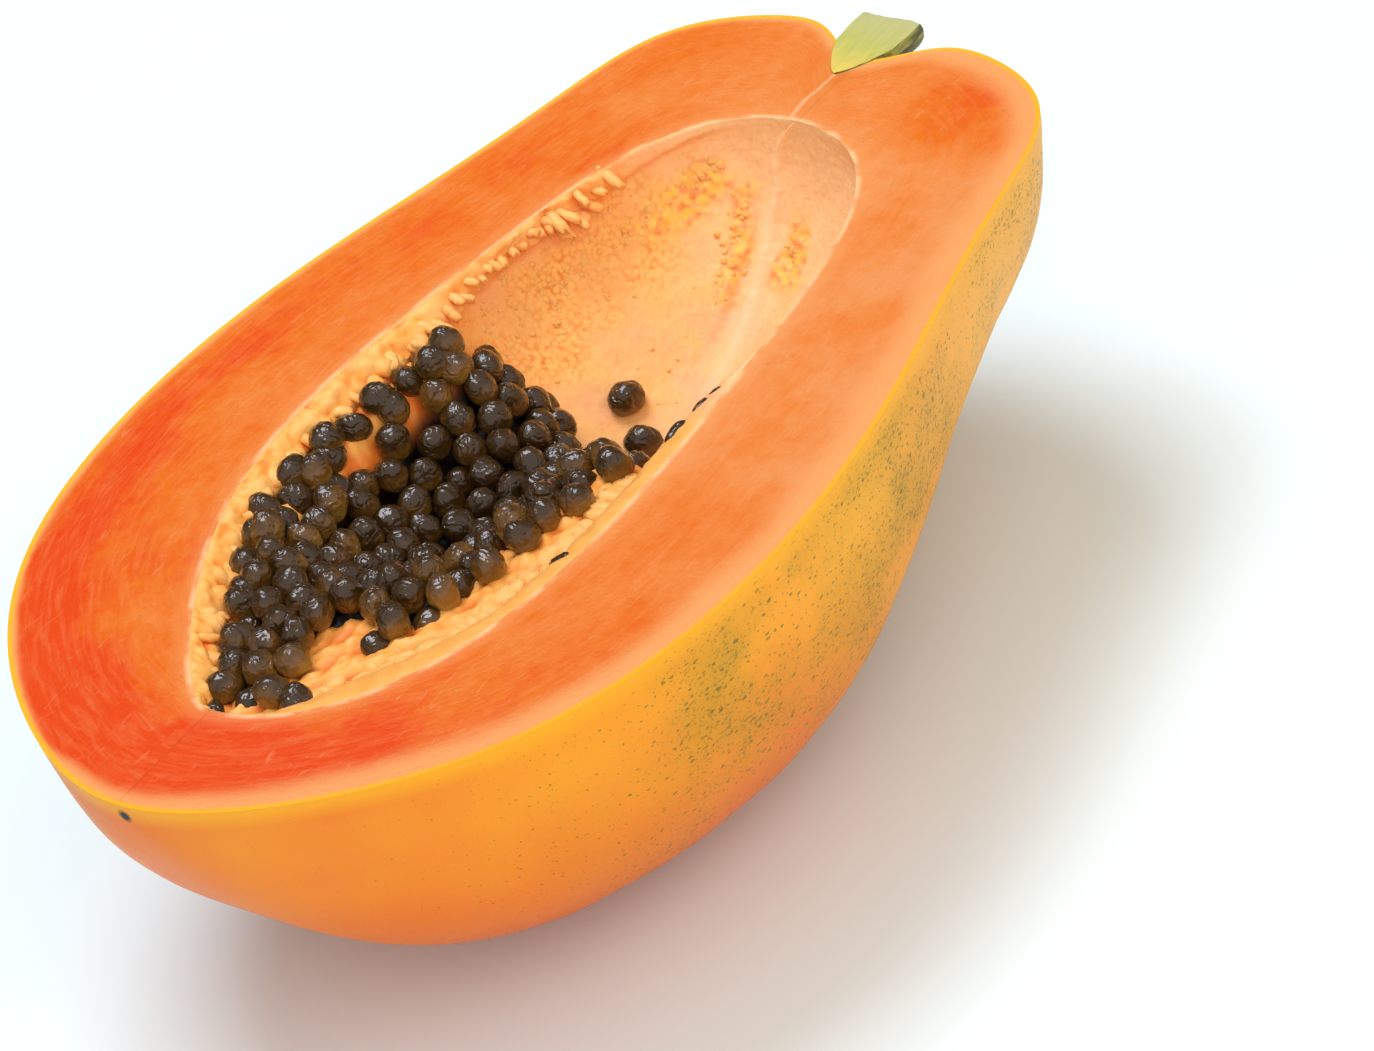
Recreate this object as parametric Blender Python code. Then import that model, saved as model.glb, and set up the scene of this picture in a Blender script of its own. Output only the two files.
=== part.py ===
"""A ripe papaya cut in half lengthwise and laid on its back, with its seeds and half of its stem.

X runs from the blossom end (low) to the stem end (high), Y across the fruit, Z up out of the cut
face. The origin is the middle of the small flat spot that the half rests on.
Lengths are in metres. Along the fruit, X is measured from the blossom tip until place() moves it.
"""

import math
import random

import bmesh
import bpy
from mathutils import Matrix, Vector

# Outer form of the fruit
LENGTH = 0.2085  # blossom tip to the two shoulders beside the stem
HALF_WIDTH = 0.0762
OUTLINE_TERMS = (-0.151, 0.123, -0.167, 0.036, -0.031)  # cosine terms that make it pear shaped
CLEFT_DEPTH = 0.0096  # the dip between the shoulders, where the stem sits
CLEFT_WIDTH = 0.0108
BACK_ROUNDNESS = 1.01  # depth of the back over its half width
BELLY_SHIFT = 0.050  # more of it over the belly, so that the half rests level
BELLY_FROM = 0.055
BELLY_LENGTH = 0.055
BACK_LIFT = 0.22  # how much of that is lost towards the stem end
BACK_LIFT_FROM = 0.110
BACK_LIFT_LENGTH = 0.090
TIP_DROP = 0.04
TIP_DROP_LENGTH = 0.060
CARPELS = 5  # faint lengthwise ridges
RIDGE_AT_BELLY = 0.012
RIDGE_AT_ENDS = 0.035

# Where it rests
REST_X = 0.0970  # below the centre of mass
REST_FLAT = 0.0010  # how much of the rounded back the flat spot takes off

# The seed cavity, as it opens in the cut face
CAVITY_START = 0.0235
CAVITY_END = 0.1810
NEAR_MOUTH = 0.0421  # half width towards -Y
NEAR_TERMS = (0.037, 0.124, -0.038)
FAR_MOUTH = 0.0369  # half width towards +Y
FAR_TERMS = (-0.247, -0.032, -0.135)
CAVITY_DEPTH = 0.0370
DEPTH_TERMS = (-0.10, 0.04, -0.08)
CAVITY_RIDGE = 0.035
CUTTER_SQUARENESS = 0.3  # form of the cutter above the cut face
CUTTER_RISE = 0.030

# The shelf of pulp round the seeds, just under the cut face
NEAR_SHELF = 0.0070
NEAR_SHELF_AT_TIP = 0.0050  # more of it at the blossom end
TIP_SHELF_END = 0.060
TIP_SHELF_FADE = 0.020
FAR_SHELF = 0.0050
SHELF_DROP = 0.0035
SHELF_CURVE = 2.2  # level near the rim, falling away inwards
SHELF_SHARE = 0.16  # share of the mesh's turn that the shelf takes
SHELF_FADE_FROM = 0.114
SHELF_FADE_LENGTH = 0.020
PULP_LENGTH = 0.0054
PULP_WIDTH = 0.0034
PULP_PITCH = 0.0046
PULP_UNEVENNESS = 0.2
PULP_SCATTER = 0.0008
PULP_TILT = 0.2
PULP_START = 0.0315
NEAR_PULP_END = 0.108
FAR_PULP_END = 0.158

# The seed heap: a bowl of seeds, open towards the bare stem end of the cavity
SEED_LENGTH = 0.0066
SEED_WIDTH = 0.0060
SEED_UNEVENNESS = 0.08  # share by which lengths differ
SEED_TILT = 0.6
SEED_PITCH = 0.0058
SEED_NEAREST = 0.0042
SEED_COUNT = 136
SEED_ROUNDS = 60
BANK_LEVEL = -0.0022  # middles of the highest seeds, from the cut face
BOWL_CENTRE = (0.0900, 0.0060)
BOWL_REACH = (0.0340, 0.0250)
BOWL_DEPTH = 0.0170
HEAP_END = 0.0980
HEAP_SLOPE_LENGTH = 0.0270
HEAP_SLANT = 0.3  # the heap's edge runs askew across the cavity
HEAP_BEND = 0.2
HEAP_FOOT = -0.0370
HEAP_OVERHANG = 0.0030
CORE_COVER = 0.0016  # seed middles above the core's surface
HEAP_BLOCK_START = 0.0195
HEAP_BLOCK_LENGTH = 0.1150
HEAP_BLOCK_WIDTH = 0.0900
HEAP_BLOCK_DEPTH = 0.0600
HEAP_COLUMNS = 22
HEAP_ROWS = 16
GAP = 0.0004  # between touching pieces
SEED_ROOM = SEED_LENGTH / 2 * (1 + SEED_UNEVENNESS) + GAP  # from a seed's middle to the flesh

# Seeds that lie apart from the heap, by their place along and across
STRAY_ON_WALL = ((0.1345, 0.0125), (0.1290, 0.0060))
STRAY_AT_RIM = (
    (0.1170, -0.0335),
    (0.1130, -0.0330),
    (0.1065, -0.0325),
    (0.0740, -0.0345),
    (0.0240, 0.0000),
)
STRAY_RISE = 0.0018  # middle of a stray seed above the wall
CUT_SEED_WIDTH = 0.0032
LYING = 1.4  # tilt of a seed on its side

# The stem
STEM_RADIUS = 0.0066
STEM_ROOT_RADIUS = 0.0080
STEM_START = 0.1935
STEM_END = 0.2105
STEM_SIDE = 0.0012
STEM_SIDES = 14

# Surfaces
FLESH_COLOUR = (0.90, 0.27, 0.07)
FLESH_ROUGHNESS = 0.45
SEED_COLOUR = (0.03, 0.02, 0.012)
SEED_ROUGHNESS = 0.30
STEM_COLOUR = (0.42, 0.50, 0.16)
STEM_ROUGHNESS = 0.60

# Making
RANDOM_SEED = 11
ROOM = 0.4  # size of the cutting blocks
SMOOTH_ANGLE = math.radians(50)
SIDES = 36  # of the skin and of the cavity
SKIN_RINGS = 32
SKIN_CROWDING = 0.40
CAVITY_RINGS = 28
CAVITY_CROWDING = 0.30
SEED_SIDES = 6
PULP_SIDES = 5
LUMP_RINGS = 4
WALL_STEPS = 3  # rounds to find a height on the ridged wall
LEAST = 1e-4


def clamp(value):
    return max(0.0, min(1.0, value))


def smooth(value):
    value = clamp(value)
    return value * value * (3 - 2 * value)


def swell(turn, terms):
    """Half width of a turned form at this turn of its meridian, for a belly of 1."""
    return math.sin(turn) * (1 + sum(term * math.cos((k + 1) * turn) for k, term in enumerate(terms)))


def outline(turn):
    """Distance along the fruit and half width, from blossom tip (0) to stem (pi)."""
    half = HALF_WIDTH * swell(turn, OUTLINE_TERMS)
    along = LENGTH * (1 - math.cos(turn)) / 2
    if turn > math.pi / 2:
        along -= CLEFT_DEPTH * math.exp(-((half / CLEFT_WIDTH) ** 2))
    return along, half


def skin_point(turn, angle):
    along, half = outline(turn)
    ridge = RIDGE_AT_BELLY + (RIDGE_AT_ENDS - RIDGE_AT_BELLY) * math.cos(turn) ** 2
    half *= 1 - ridge * math.cos(CARPELS * (angle + math.pi / 2))
    across = half * math.cos(angle)
    up = half * math.sin(angle)
    if up < 0:
        lift = BACK_LIFT * smooth((along - BACK_LIFT_FROM) / BACK_LIFT_LENGTH)
        drop = TIP_DROP * clamp(1 - along / TIP_DROP_LENGTH) ** 2
        belly = BELLY_SHIFT * smooth((along - BELLY_FROM) / BELLY_LENGTH)
        up *= BACK_ROUNDNESS + belly - lift + drop
    return Vector((along, across, up))


def cavity_turn(along):
    share = clamp((along - CAVITY_START) / (CAVITY_END - CAVITY_START))
    return math.acos(1 - 2 * share)


def mouth(along, side):
    """Half width of the cavity in the cut face, on the near (-1) or far (+1) side."""
    turn = cavity_turn(along)
    return NEAR_MOUTH * swell(turn, NEAR_TERMS) if side < 0 else FAR_MOUTH * swell(turn, FAR_TERMS)


def shelf(along, side):
    """Width of the pulp shelf inside the mouth."""
    at_tip = NEAR_SHELF_AT_TIP * clamp((TIP_SHELF_END - along) / TIP_SHELF_FADE)
    full = NEAR_SHELF + at_tip if side < 0 else FAR_SHELF
    fade = 1 - smooth((along - SHELF_FADE_FROM) / SHELF_FADE_LENGTH)
    return min(full * fade, mouth(along, side) / 2)


def depth(along):
    return CAVITY_DEPTH * swell(cavity_turn(along), DEPTH_TERMS)


def wall_ridge(angle):
    return 1 + CAVITY_RIDGE * math.cos(CARPELS * (angle + math.pi / 2))


def cavity_point(turn, angle, inset=0.0):
    """A point of the cavity's wall, drawn in by inset. Above the cut face it is only a cutter."""
    along = CAVITY_START + (CAVITY_END - CAVITY_START) * (1 - math.cos(turn)) / 2
    side = 1 if math.cos(angle) >= 0 else -1
    rim = mouth(along, side)
    drawn_in = along + inset * math.cos(turn)
    if math.sin(angle) > 0:
        across = side * rim * abs(math.cos(angle)) ** CUTTER_SQUARENESS
        return Vector((drawn_in, across, CUTTER_RISE * math.sin(angle)))
    inner = rim - shelf(along, side)
    deep = max(depth(along), LEAST)
    below = abs(angle) if abs(angle) <= math.pi / 2 else math.pi - abs(angle)
    share = below / (math.pi / 2)
    drop = min(SHELF_DROP, deep / 2)
    first = math.asin(drop / deep)
    first_angle = -first if side > 0 else first - math.pi
    if share < SHELF_SHARE:
        part = share / SHELF_SHARE
        across = rim + (inner * wall_ridge(first_angle) * math.cos(first) - rim) * part
        return Vector((drawn_in, side * (across - inset), -drop * part**SHELF_CURVE))
    arc = first + (math.pi / 2 - first) * (share - SHELF_SHARE) / (1 - SHELF_SHARE)
    grow = wall_ridge(-arc if side > 0 else arc - math.pi)
    across = max(0.0, inner * grow - inset) * math.cos(arc)
    return Vector((drawn_in, side * across, -max(0.0, deep * grow - inset) * math.sin(arc)))


def wall_height(along, across, inset=0.0):
    """Height of the cavity's wall, drawn in by inset, at a place in plan."""
    side = 1 if across >= 0 else -1
    inner = mouth(along, side) - shelf(along, side)
    deep = depth(along)
    height = 0.0
    for _ in range(WALL_STEPS):
        angle = math.atan2(height / max(deep, LEAST), across / max(inner, LEAST)) if height else 0.0
        grow = wall_ridge(angle)
        reach = max(inner * grow - inset, LEAST)
        height = -max(deep * grow - inset, 0.0) * math.sqrt(clamp(1 - (across / reach) ** 2))
    return height


def heap_height(along, across):
    """Height of the middles of the top seeds: banks round a bowl, sloping down to the bare wall."""
    lengthwise = (along - BOWL_CENTRE[0]) / BOWL_REACH[0]
    crosswise = (across - BOWL_CENTRE[1]) / BOWL_REACH[1]
    height = BANK_LEVEL - BOWL_DEPTH * clamp(1 - lengthwise**2 - crosswise**2)
    start = HEAP_END + HEAP_SLANT * across + HEAP_BEND * abs(across)
    slope = smooth((along - start) / HEAP_SLOPE_LENGTH)
    return height + (HEAP_FOOT - height) * slope


def heap_holds(along, across):
    """Whether a seed's middle can lie here without touching the pulp shelf or hanging past the heap."""
    side = 1 if across >= 0 else -1
    room = mouth(along, side) - shelf(along, side) - SEED_ROOM
    if along < CAVITY_START + SEED_LENGTH or abs(across) > room:
        return False
    return heap_height(along, across) > wall_height(along, across, SEED_ROOM) - HEAP_OVERHANG


def seed_middle(along, across):
    floor = wall_height(along, across, SEED_ROOM)
    return Vector((along, across, max(heap_height(along, across), floor)))


def seed_places():
    """Middles of the seeds that show: thrown at random over the heap, then pushed apart."""
    rng = random.Random(RANDOM_SEED)
    middles = []
    while len(middles) < SEED_COUNT:
        along = rng.uniform(CAVITY_START, HEAP_END + 2 * HEAP_SLOPE_LENGTH)
        across = rng.uniform(-NEAR_MOUTH, FAR_MOUTH)
        if heap_holds(along, across):
            middles.append(seed_middle(along, across))
    for _ in range(SEED_ROUNDS):
        for k, one in enumerate(middles):
            push = Vector((0.0, 0.0, 0.0))
            for other in middles:
                away = one - other
                if 0 < away.length < SEED_PITCH:
                    push += away * (0.5 * (SEED_PITCH / away.length - 1))
            if heap_holds(one.x + push.x, one.y + push.y):
                middles[k] = seed_middle(one.x + push.x, one.y + push.y)
    kept = []
    for one in middles:
        if all((one - other).length > SEED_NEAREST for other in kept):
            kept.append(one)
    return kept


def place(point):
    """From the blossom tip and the cut face to the part's own origin."""
    return Vector((point.x - REST_X, point.y, point.z + CUT_HEIGHT))


def deformed_sphere(segments, rings, ends, form):
    """A sphere primitive whose points form(turn, angle) moves. Its rings crowd to both ends."""
    bm = bmesh.new()
    bmesh.ops.create_uvsphere(bm, u_segments=segments, v_segments=rings, radius=1.0)
    for vert in bm.verts:
        turn = math.acos(max(-1.0, min(1.0, -vert.co.z)))
        turn -= ends * math.sin(2 * turn) / 2
        angle = math.atan2(vert.co.y, vert.co.x) + math.pi / segments
        if angle > math.pi:
            angle -= 2 * math.pi
        vert.co = place(form(turn, angle))
    return bm


def belly_depth():
    """How far the deepest point of the back lies below the cut face."""
    steps = 200
    return max(-skin_point(math.pi * k / steps, -math.pi / 2).z for k in range(steps + 1))


CUT_HEIGHT = belly_depth() - REST_FLAT


def material(name, colour, roughness):
    surface = bpy.data.materials.new(name)
    surface.use_nodes = True
    shader = surface.node_tree.nodes["Principled BSDF"]
    shader.inputs["Base Color"].default_value = (*colour, 1.0)
    shader.inputs["Roughness"].default_value = roughness
    shader.inputs["Metallic"].default_value = 0.0
    surface.diffuse_color = (*colour, 1.0)
    return surface


def add_object(name, bm, collection, surface=None):
    mesh = bpy.data.meshes.new(name)
    bm.to_mesh(mesh)
    bm.free()
    if surface:
        mesh.materials.append(surface)
        mesh.shade_smooth()
    obj = bpy.data.objects.new(name, mesh)
    collection.objects.link(obj)
    return obj


def add_cutter(name, bm):
    obj = add_object(name, bm, cutters)
    obj.hide_render = True
    obj.display_type = "WIRE"
    return obj


def block(low, high):
    bm = bmesh.new()
    bmesh.ops.create_cube(bm, size=1.0)
    for vert in bm.verts:
        vert.co = Vector(low[k] + (vert.co[k] + 0.5) * (high[k] - low[k]) for k in range(3))
    return bm


def boolean(obj, operation, other):
    modifier = obj.modifiers.new(other.name, "BOOLEAN")
    modifier.operation = operation
    modifier.solver = "EXACT"
    modifier.object = other


def bake(obj):
    """Applies the modifiers of an object."""
    graph = bpy.context.evaluated_depsgraph_get()
    mesh = bpy.data.meshes.new_from_object(obj.evaluated_get(graph))
    mesh.name = obj.name
    obj.modifiers.clear()
    obj.data = mesh


def fuse(obj, pieces):
    """Joins small pieces onto an object in one union, and removes them."""
    group = bpy.data.collections.new(obj.name + "_pieces")
    bpy.context.scene.collection.children.link(group)
    for number, bm in enumerate(pieces):
        add_object(f"{obj.name}_piece_{number}", bm, group)
    modifier = obj.modifiers.new("pieces", "BOOLEAN")
    modifier.operation = "UNION"
    modifier.solver = "MANIFOLD"
    modifier.operand_type = "COLLECTION"
    modifier.collection = group
    bake(obj)
    for piece in list(group.objects):
        bpy.data.objects.remove(piece)
    bpy.data.collections.remove(group)


def keep_largest(obj):
    """Drops the loose scraps and sealed hollows that a union leaves."""
    bm = bmesh.new()
    bm.from_mesh(obj.data)
    bm.verts.ensure_lookup_table()
    groups = []
    seen = set()
    for start in bm.verts:
        if start in seen:
            continue
        group = [start]
        seen.add(start)
        for vert in group:
            for edge in vert.link_edges:
                other = edge.other_vert(vert)
                if other not in seen:
                    seen.add(other)
                    group.append(other)
        groups.append(group)
    groups.sort(key=len)
    for group in groups[:-1]:
        bmesh.ops.delete(bm, geom=group, context="VERTS")
    bm.to_mesh(obj.data)
    bm.free()


def ovoid(centre, length, width, heading, tilt, sides=SEED_SIDES):
    """A seed or a lump of pulp: a stretched sphere, turned by heading and tipped by tilt."""
    bm = bmesh.new()
    bmesh.ops.create_uvsphere(bm, u_segments=sides, v_segments=LUMP_RINGS, radius=0.5)
    turned = Matrix.Rotation(heading, 4, "Z") @ Matrix.Rotation(tilt, 4, "Y")
    stretch = Matrix.Diagonal((width, width, length, 1.0))
    moved = Matrix.Translation(place(centre)) @ turned @ stretch
    bmesh.ops.transform(bm, matrix=moved, verts=bm.verts)
    return bm


def pulp_lumps(rng):
    """Stubs of pulp across the shelf round the seeds, and a row of them along the far rim."""
    lumps = []
    for side, end in ((-1, NEAR_PULP_END), (1, FAR_PULP_END)):
        along = PULP_START
        while along < end:
            width = shelf(along, side)
            inside = max(width / 2, PULP_WIDTH / 2) + rng.uniform(0, PULP_SCATTER)
            height = -SHELF_DROP / 4 if width > PULP_WIDTH / 2 else -SHELF_DROP
            centre = Vector((along, side * (mouth(along, side) - inside), height))
            tilt = math.pi / 2 + rng.uniform(-PULP_TILT, PULP_TILT)
            lumps.append(ovoid(centre, PULP_LENGTH, PULP_WIDTH, math.pi / 2, tilt, PULP_SIDES))
            along += PULP_PITCH * rng.uniform(1 - PULP_UNEVENNESS, 1 + PULP_UNEVENNESS)
    return lumps


def stray_seeds(rng):
    seeds = []
    for along, across in STRAY_ON_WALL:
        centre = Vector((along, across, wall_height(along, across) + STRAY_RISE))
        seeds.append(ovoid(centre, SEED_LENGTH, SEED_WIDTH, rng.uniform(0, math.pi), LYING))
    for along, across in STRAY_AT_RIM:
        centre = Vector((along, across, -CUT_SEED_WIDTH / 2))
        seeds.append(ovoid(centre, SEED_LENGTH, CUT_SEED_WIDTH, 0.0, LYING))
    return seeds


def stem_form(grow):
    """Half of the stem, flared at its root. grow makes the socket a little larger than the stem."""
    bm = bmesh.new()
    length = STEM_END - STEM_START + 2 * grow
    bmesh.ops.create_cone(
        bm,
        cap_ends=True,
        segments=STEM_SIDES,
        radius1=STEM_ROOT_RADIUS + grow,
        radius2=STEM_RADIUS + grow,
        depth=length,
    )
    turned = Matrix.Rotation(math.pi / 2, 4, "Y")
    middle = place(Vector(((STEM_START + STEM_END) / 2, STEM_SIDE, 0.0)))
    bmesh.ops.transform(bm, matrix=Matrix.Translation(middle) @ turned, verts=bm.verts)
    return bm


def make_fruit():
    """Flesh and skin in one, with the cavity, the pulp on its rim and the few seeds stuck to it."""
    rng = random.Random(RANDOM_SEED + 1)
    skin = deformed_sphere(SIDES, SKIN_RINGS, SKIN_CROWDING, skin_point)
    fruit = add_object("papaya_half", skin, parts, flesh)
    boolean(fruit, "DIFFERENCE", cut_block)
    boolean(fruit, "DIFFERENCE", rest_block)
    hollow = deformed_sphere(SIDES, CAVITY_RINGS, CAVITY_CROWDING, cavity_point)
    boolean(fruit, "DIFFERENCE", add_cutter("cavity_cutter", hollow))
    boolean(fruit, "DIFFERENCE", add_cutter("stem_socket_cutter", stem_form(GAP)))
    bake(fruit)
    fuse(fruit, pulp_lumps(rng) + stray_seeds(rng))
    boolean(fruit, "DIFFERENCE", cut_block)
    bake(fruit)
    keep_largest(fruit)
    fruit.data.set_sharp_from_angle(angle=SMOOTH_ANGLE)


def heap_block():
    """A block whose top is the heap's surface, to be cut to the cavity's shape."""
    bm = bmesh.new()
    bmesh.ops.create_grid(bm, x_segments=HEAP_COLUMNS, y_segments=HEAP_ROWS, size=0.5)
    for vert in bm.verts:
        along = HEAP_BLOCK_START + (vert.co.x + 0.5) * HEAP_BLOCK_LENGTH
        across = vert.co.y * HEAP_BLOCK_WIDTH
        vert.co = place(Vector((along, across, heap_height(along, across) - CORE_COVER)))
    top = list(bm.faces)
    sunk = bmesh.ops.extrude_face_region(bm, geom=top)
    for element in sunk["geom"]:
        if isinstance(element, bmesh.types.BMVert):
            element.co.z = place(Vector((0, 0, -HEAP_BLOCK_DEPTH))).z
    bmesh.ops.recalc_face_normals(bm, faces=bm.faces)
    return bm


def make_heap():
    """The seeds: a core that fills the cavity under them, with every seed that shows fused on."""
    rng = random.Random(RANDOM_SEED + 2)

    def inset_cavity(turn, angle):
        return cavity_point(turn, angle, GAP)

    core = deformed_sphere(SIDES, CAVITY_RINGS, CAVITY_CROWDING, inset_cavity)
    heap = add_object("seed_heap", core, parts, seed)
    boolean(heap, "INTERSECT", add_cutter("heap_surface", heap_block()))
    bake(heap)
    seeds = []
    for centre in seed_places():
        length = SEED_LENGTH * rng.uniform(1 - SEED_UNEVENNESS, 1 + SEED_UNEVENNESS)
        heading = rng.uniform(0, math.pi)
        seeds.append(ovoid(centre, length, SEED_WIDTH, heading, rng.uniform(0, SEED_TILT)))
    fuse(heap, seeds)
    keep_largest(heap)
    heap.data.set_sharp_from_angle(angle=SMOOTH_ANGLE)


def make_stem():
    """Half of the stem, cut with the fruit."""
    stem = add_object("stem_stub", stem_form(0.0), parts, green)
    boolean(stem, "DIFFERENCE", cut_block)
    bake(stem)
    stem.data.set_sharp_from_angle(angle=SMOOTH_ANGLE)


for old in list(bpy.data.objects):
    bpy.data.objects.remove(old)
parts = bpy.data.collections.new("papaya_half")
cutters = bpy.data.collections.new("cutters")
bpy.context.scene.collection.children.link(parts)
bpy.context.scene.collection.children.link(cutters)
flesh = material("papaya_flesh", FLESH_COLOUR, FLESH_ROUGHNESS)
seed = material("papaya_seed", SEED_COLOUR, SEED_ROUGHNESS)
green = material("papaya_stem", STEM_COLOUR, STEM_ROUGHNESS)
cut_block = add_cutter("cut_face", block((-ROOM, -ROOM, CUT_HEIGHT), (ROOM, ROOM, ROOM)))
rest_block = add_cutter("rest_face", block((-ROOM, -ROOM, -ROOM), (ROOM, ROOM, 0.0)))
make_fruit()
make_heap()
make_stem()
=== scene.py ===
"""A ripe papaya half on its back, with its wet seeds, the pulp round them and half of its stem."""

import functools
import math
import random

import bpy
import numpy as np
from mathutils import Matrix, Vector, noise


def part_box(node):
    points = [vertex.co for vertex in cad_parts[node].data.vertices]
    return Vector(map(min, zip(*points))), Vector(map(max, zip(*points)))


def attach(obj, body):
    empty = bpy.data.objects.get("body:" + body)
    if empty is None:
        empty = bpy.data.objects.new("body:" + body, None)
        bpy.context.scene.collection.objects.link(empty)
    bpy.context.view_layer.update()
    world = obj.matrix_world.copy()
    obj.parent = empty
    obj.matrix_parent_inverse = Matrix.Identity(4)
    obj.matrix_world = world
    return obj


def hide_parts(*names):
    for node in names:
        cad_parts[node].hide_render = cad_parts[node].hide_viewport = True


bl_info = {
    "name": "Papaya half",
    "version": (1, 0, 0),
    "blender": (4, 5, 0),
    "location": "View3D > Sidebar > Papaya",
    "description": "Makes the flesh, skin, seeds, pulp and stem of a papaya half, and a plain studio round it",
    "category": "Add Mesh",
}

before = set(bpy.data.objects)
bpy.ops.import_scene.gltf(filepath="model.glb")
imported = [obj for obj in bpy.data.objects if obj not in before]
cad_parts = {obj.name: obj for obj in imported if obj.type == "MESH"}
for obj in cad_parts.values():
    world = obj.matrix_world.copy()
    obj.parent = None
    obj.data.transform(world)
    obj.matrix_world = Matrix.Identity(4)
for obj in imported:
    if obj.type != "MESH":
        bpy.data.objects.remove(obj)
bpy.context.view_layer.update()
CUT_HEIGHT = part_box("papaya_half")[1].z
MM = 0.001

# Outer form of the fruit, in metres, X from the blossom tip and Z from the cut face
LENGTH = 0.2085
HALF_WIDTH = 0.0762
OUTLINE_TERMS = (-0.151, 0.123, -0.167, 0.036, -0.031)
CLEFT_DEPTH = 0.0096
CLEFT_WIDTH = 0.0108
BACK_ROUNDNESS = 1.01
BELLY_SHIFT = 0.050
BELLY_FROM = 0.055
BELLY_LENGTH = 0.055
BACK_LIFT = 0.22
BACK_LIFT_FROM = 0.110
BACK_LIFT_LENGTH = 0.090
TIP_DROP = 0.04
TIP_DROP_LENGTH = 0.060
CARPELS = 5
RIDGE_AT_BELLY = 0.012
RIDGE_AT_ENDS = 0.035
REST_X = 0.0970

# The seed cavity and the shelf of pulp in it
CAVITY_START = 0.0235
CAVITY_END = 0.1810
NEAR_MOUTH = 0.0421
NEAR_TERMS = (0.037, 0.124, -0.038)
FAR_MOUTH = 0.0369
FAR_TERMS = (-0.247, -0.032, -0.135)
CAVITY_DEPTH = 0.0370
DEPTH_TERMS = (-0.10, 0.04, -0.08)
CAVITY_RIDGE = 0.035
NEAR_SHELF = 0.0070
NEAR_SHELF_AT_TIP = 0.0050
TIP_SHELF_END = 0.060
TIP_SHELF_FADE = 0.020
FAR_SHELF = 0.0050
SHELF_DROP = 0.0035
SHELF_CURVE = 2.2
SHELF_SHARE = 0.16
SHELF_FADE_FROM = 0.114
SHELF_FADE_LENGTH = 0.020

# The heap of seeds
SEED_LENGTH = 0.0066
SEED_WIDTH = 0.0060
SEED_UNEVENNESS = 0.08
SEED_TILT = 0.6
SEED_PITCH = 0.0058
SEED_NEAREST = 0.0042
SEED_COUNT = 136
SEED_ROUNDS = 60
BANK_LEVEL = -0.0022
BOWL_CENTRE = (0.0900, 0.0060)
BOWL_REACH = (0.0340, 0.0250)
BOWL_DEPTH = 0.0170
HEAP_END = 0.0980
HEAP_SLOPE_LENGTH = 0.0270
HEAP_SLANT = 0.3
HEAP_BEND = 0.2
HEAP_FOOT = -0.0370
HEAP_OVERHANG = 0.0030
GAP = 0.0004
SEED_ROOM = SEED_LENGTH / 2 * (1 + SEED_UNEVENNESS) + GAP
STRAY_ON_WALL = ((0.1345, 0.0125), (0.1290, 0.0060))
# Four seeds that the knife cut at the near rim, and one in the tip of the cavity
STRAY_AT_RIM = ((0.1170, -0.0335), (0.1130, -0.0330), (0.1065, -0.0325), (0.0740, -0.0345), (0.0240, 0.0000))
SEEDS_IN_SHELF = (
    *((0.0785, 0.0315), (0.0690, 0.0300), (0.0635, 0.0265), (0.0870, 0.0315), (0.0570, 0.0235), (0.0510, 0.0180)),
    *((0.0395, 0.0095), (0.0310, 0.0050), (0.0320, -0.0105), (0.0990, 0.0300), (0.1100, 0.0265)),
)
# Seeds that the pulp hides, near the near side and in patches, and seeds deeper down between the others
PULPY_STRIP = 6.2 * MM
PULPY_TO = 0.098
PULPY_CHANCE = 0.6
PATCH_CHANCE = 0.55
DEEPER_TRIES = 2600
DEEPER_BY = 2.8 * MM
DEEPER_NEAREST = 4.7 * MM
# How stray seeds lie
STRAY_RISE = 0.0018
CUT_SEED_WIDTH = 0.0032
LYING = 1.4

# The stem
STEM_RADIUS = 0.0066
STEM_POINT = 0.1942
STEM_FULL = 0.2030
STEM_END = 0.2105
STEM_SIDE = 0.0012

# The camera as the photo shows the fruit, the lights, and the side that the surroundings are lightest on
CAMERA_AT = (-0.56926, -0.76653, 0.71326)
CAMERA_RIGHT = (0.59987, -0.74046, -0.30312)
CAMERA_UP = (0.62231, 0.19368, 0.75843)
CAMERA_BACK = (-0.50288, -0.64359, 0.57698)
OVERHEAD_AT = (0.16, 0.30, 1.15)
FRONT_AT = (-0.36, -1.10, 0.84)
LIGHT_SIDE = (-0.50, -0.83, 0.24)

RANDOM_SEED = 11
WALL_ROUNDS = 3
LEAST = 1e-4
NUDGE = 0.01

# Numbers at each point of the fruit's mesh that the materials read
FLESH_MARKS = ("rind", "rim", "round", "red")
LINING_MARKS = ("pulp", "grain", "flecks", "seam", "step", "pale", "lip", "height", "shade")
MARKS = FLESH_MARKS + LINING_MARKS
LINING = "Papaya cavity lining and pulp, moist"

# Lines on the bare wall: place along the fruit in mm, then degrees round the wall or mm below the cut
SEAM = ((140, -86), (155, -83), (162, -80), (169, -75), (177, -66), (181, -40))
LEFT_FLECKS = ((159, -69), (168, -64), (174, -50), (177, -46))
STEP = ((120, -5.2), (150, -4.6), (158, -4.4), (163, -4.0), (168.5, -3.0), (173, -2.3), (178, -1.4))

# The skin: places, and its flecks as scale, largest radius of a cell, strength and how much they keep to the clouds
MUSTARD_CLOUD = (-0.016, -0.062, 0.054)
BLOSSOM_SCAR = (0.0003, -0.0010, -0.0024)
SKIN_FLECKS = (
    ((600.0, 980.0, 980.0), 0.45, 0.72, 0.30),
    ((950.0, 1400.0, 1400.0), 0.52, 0.58, 0.45),
    ((1900.0, 2300.0, 2300.0), 0.70, 0.45, 0.75),
)

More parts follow.
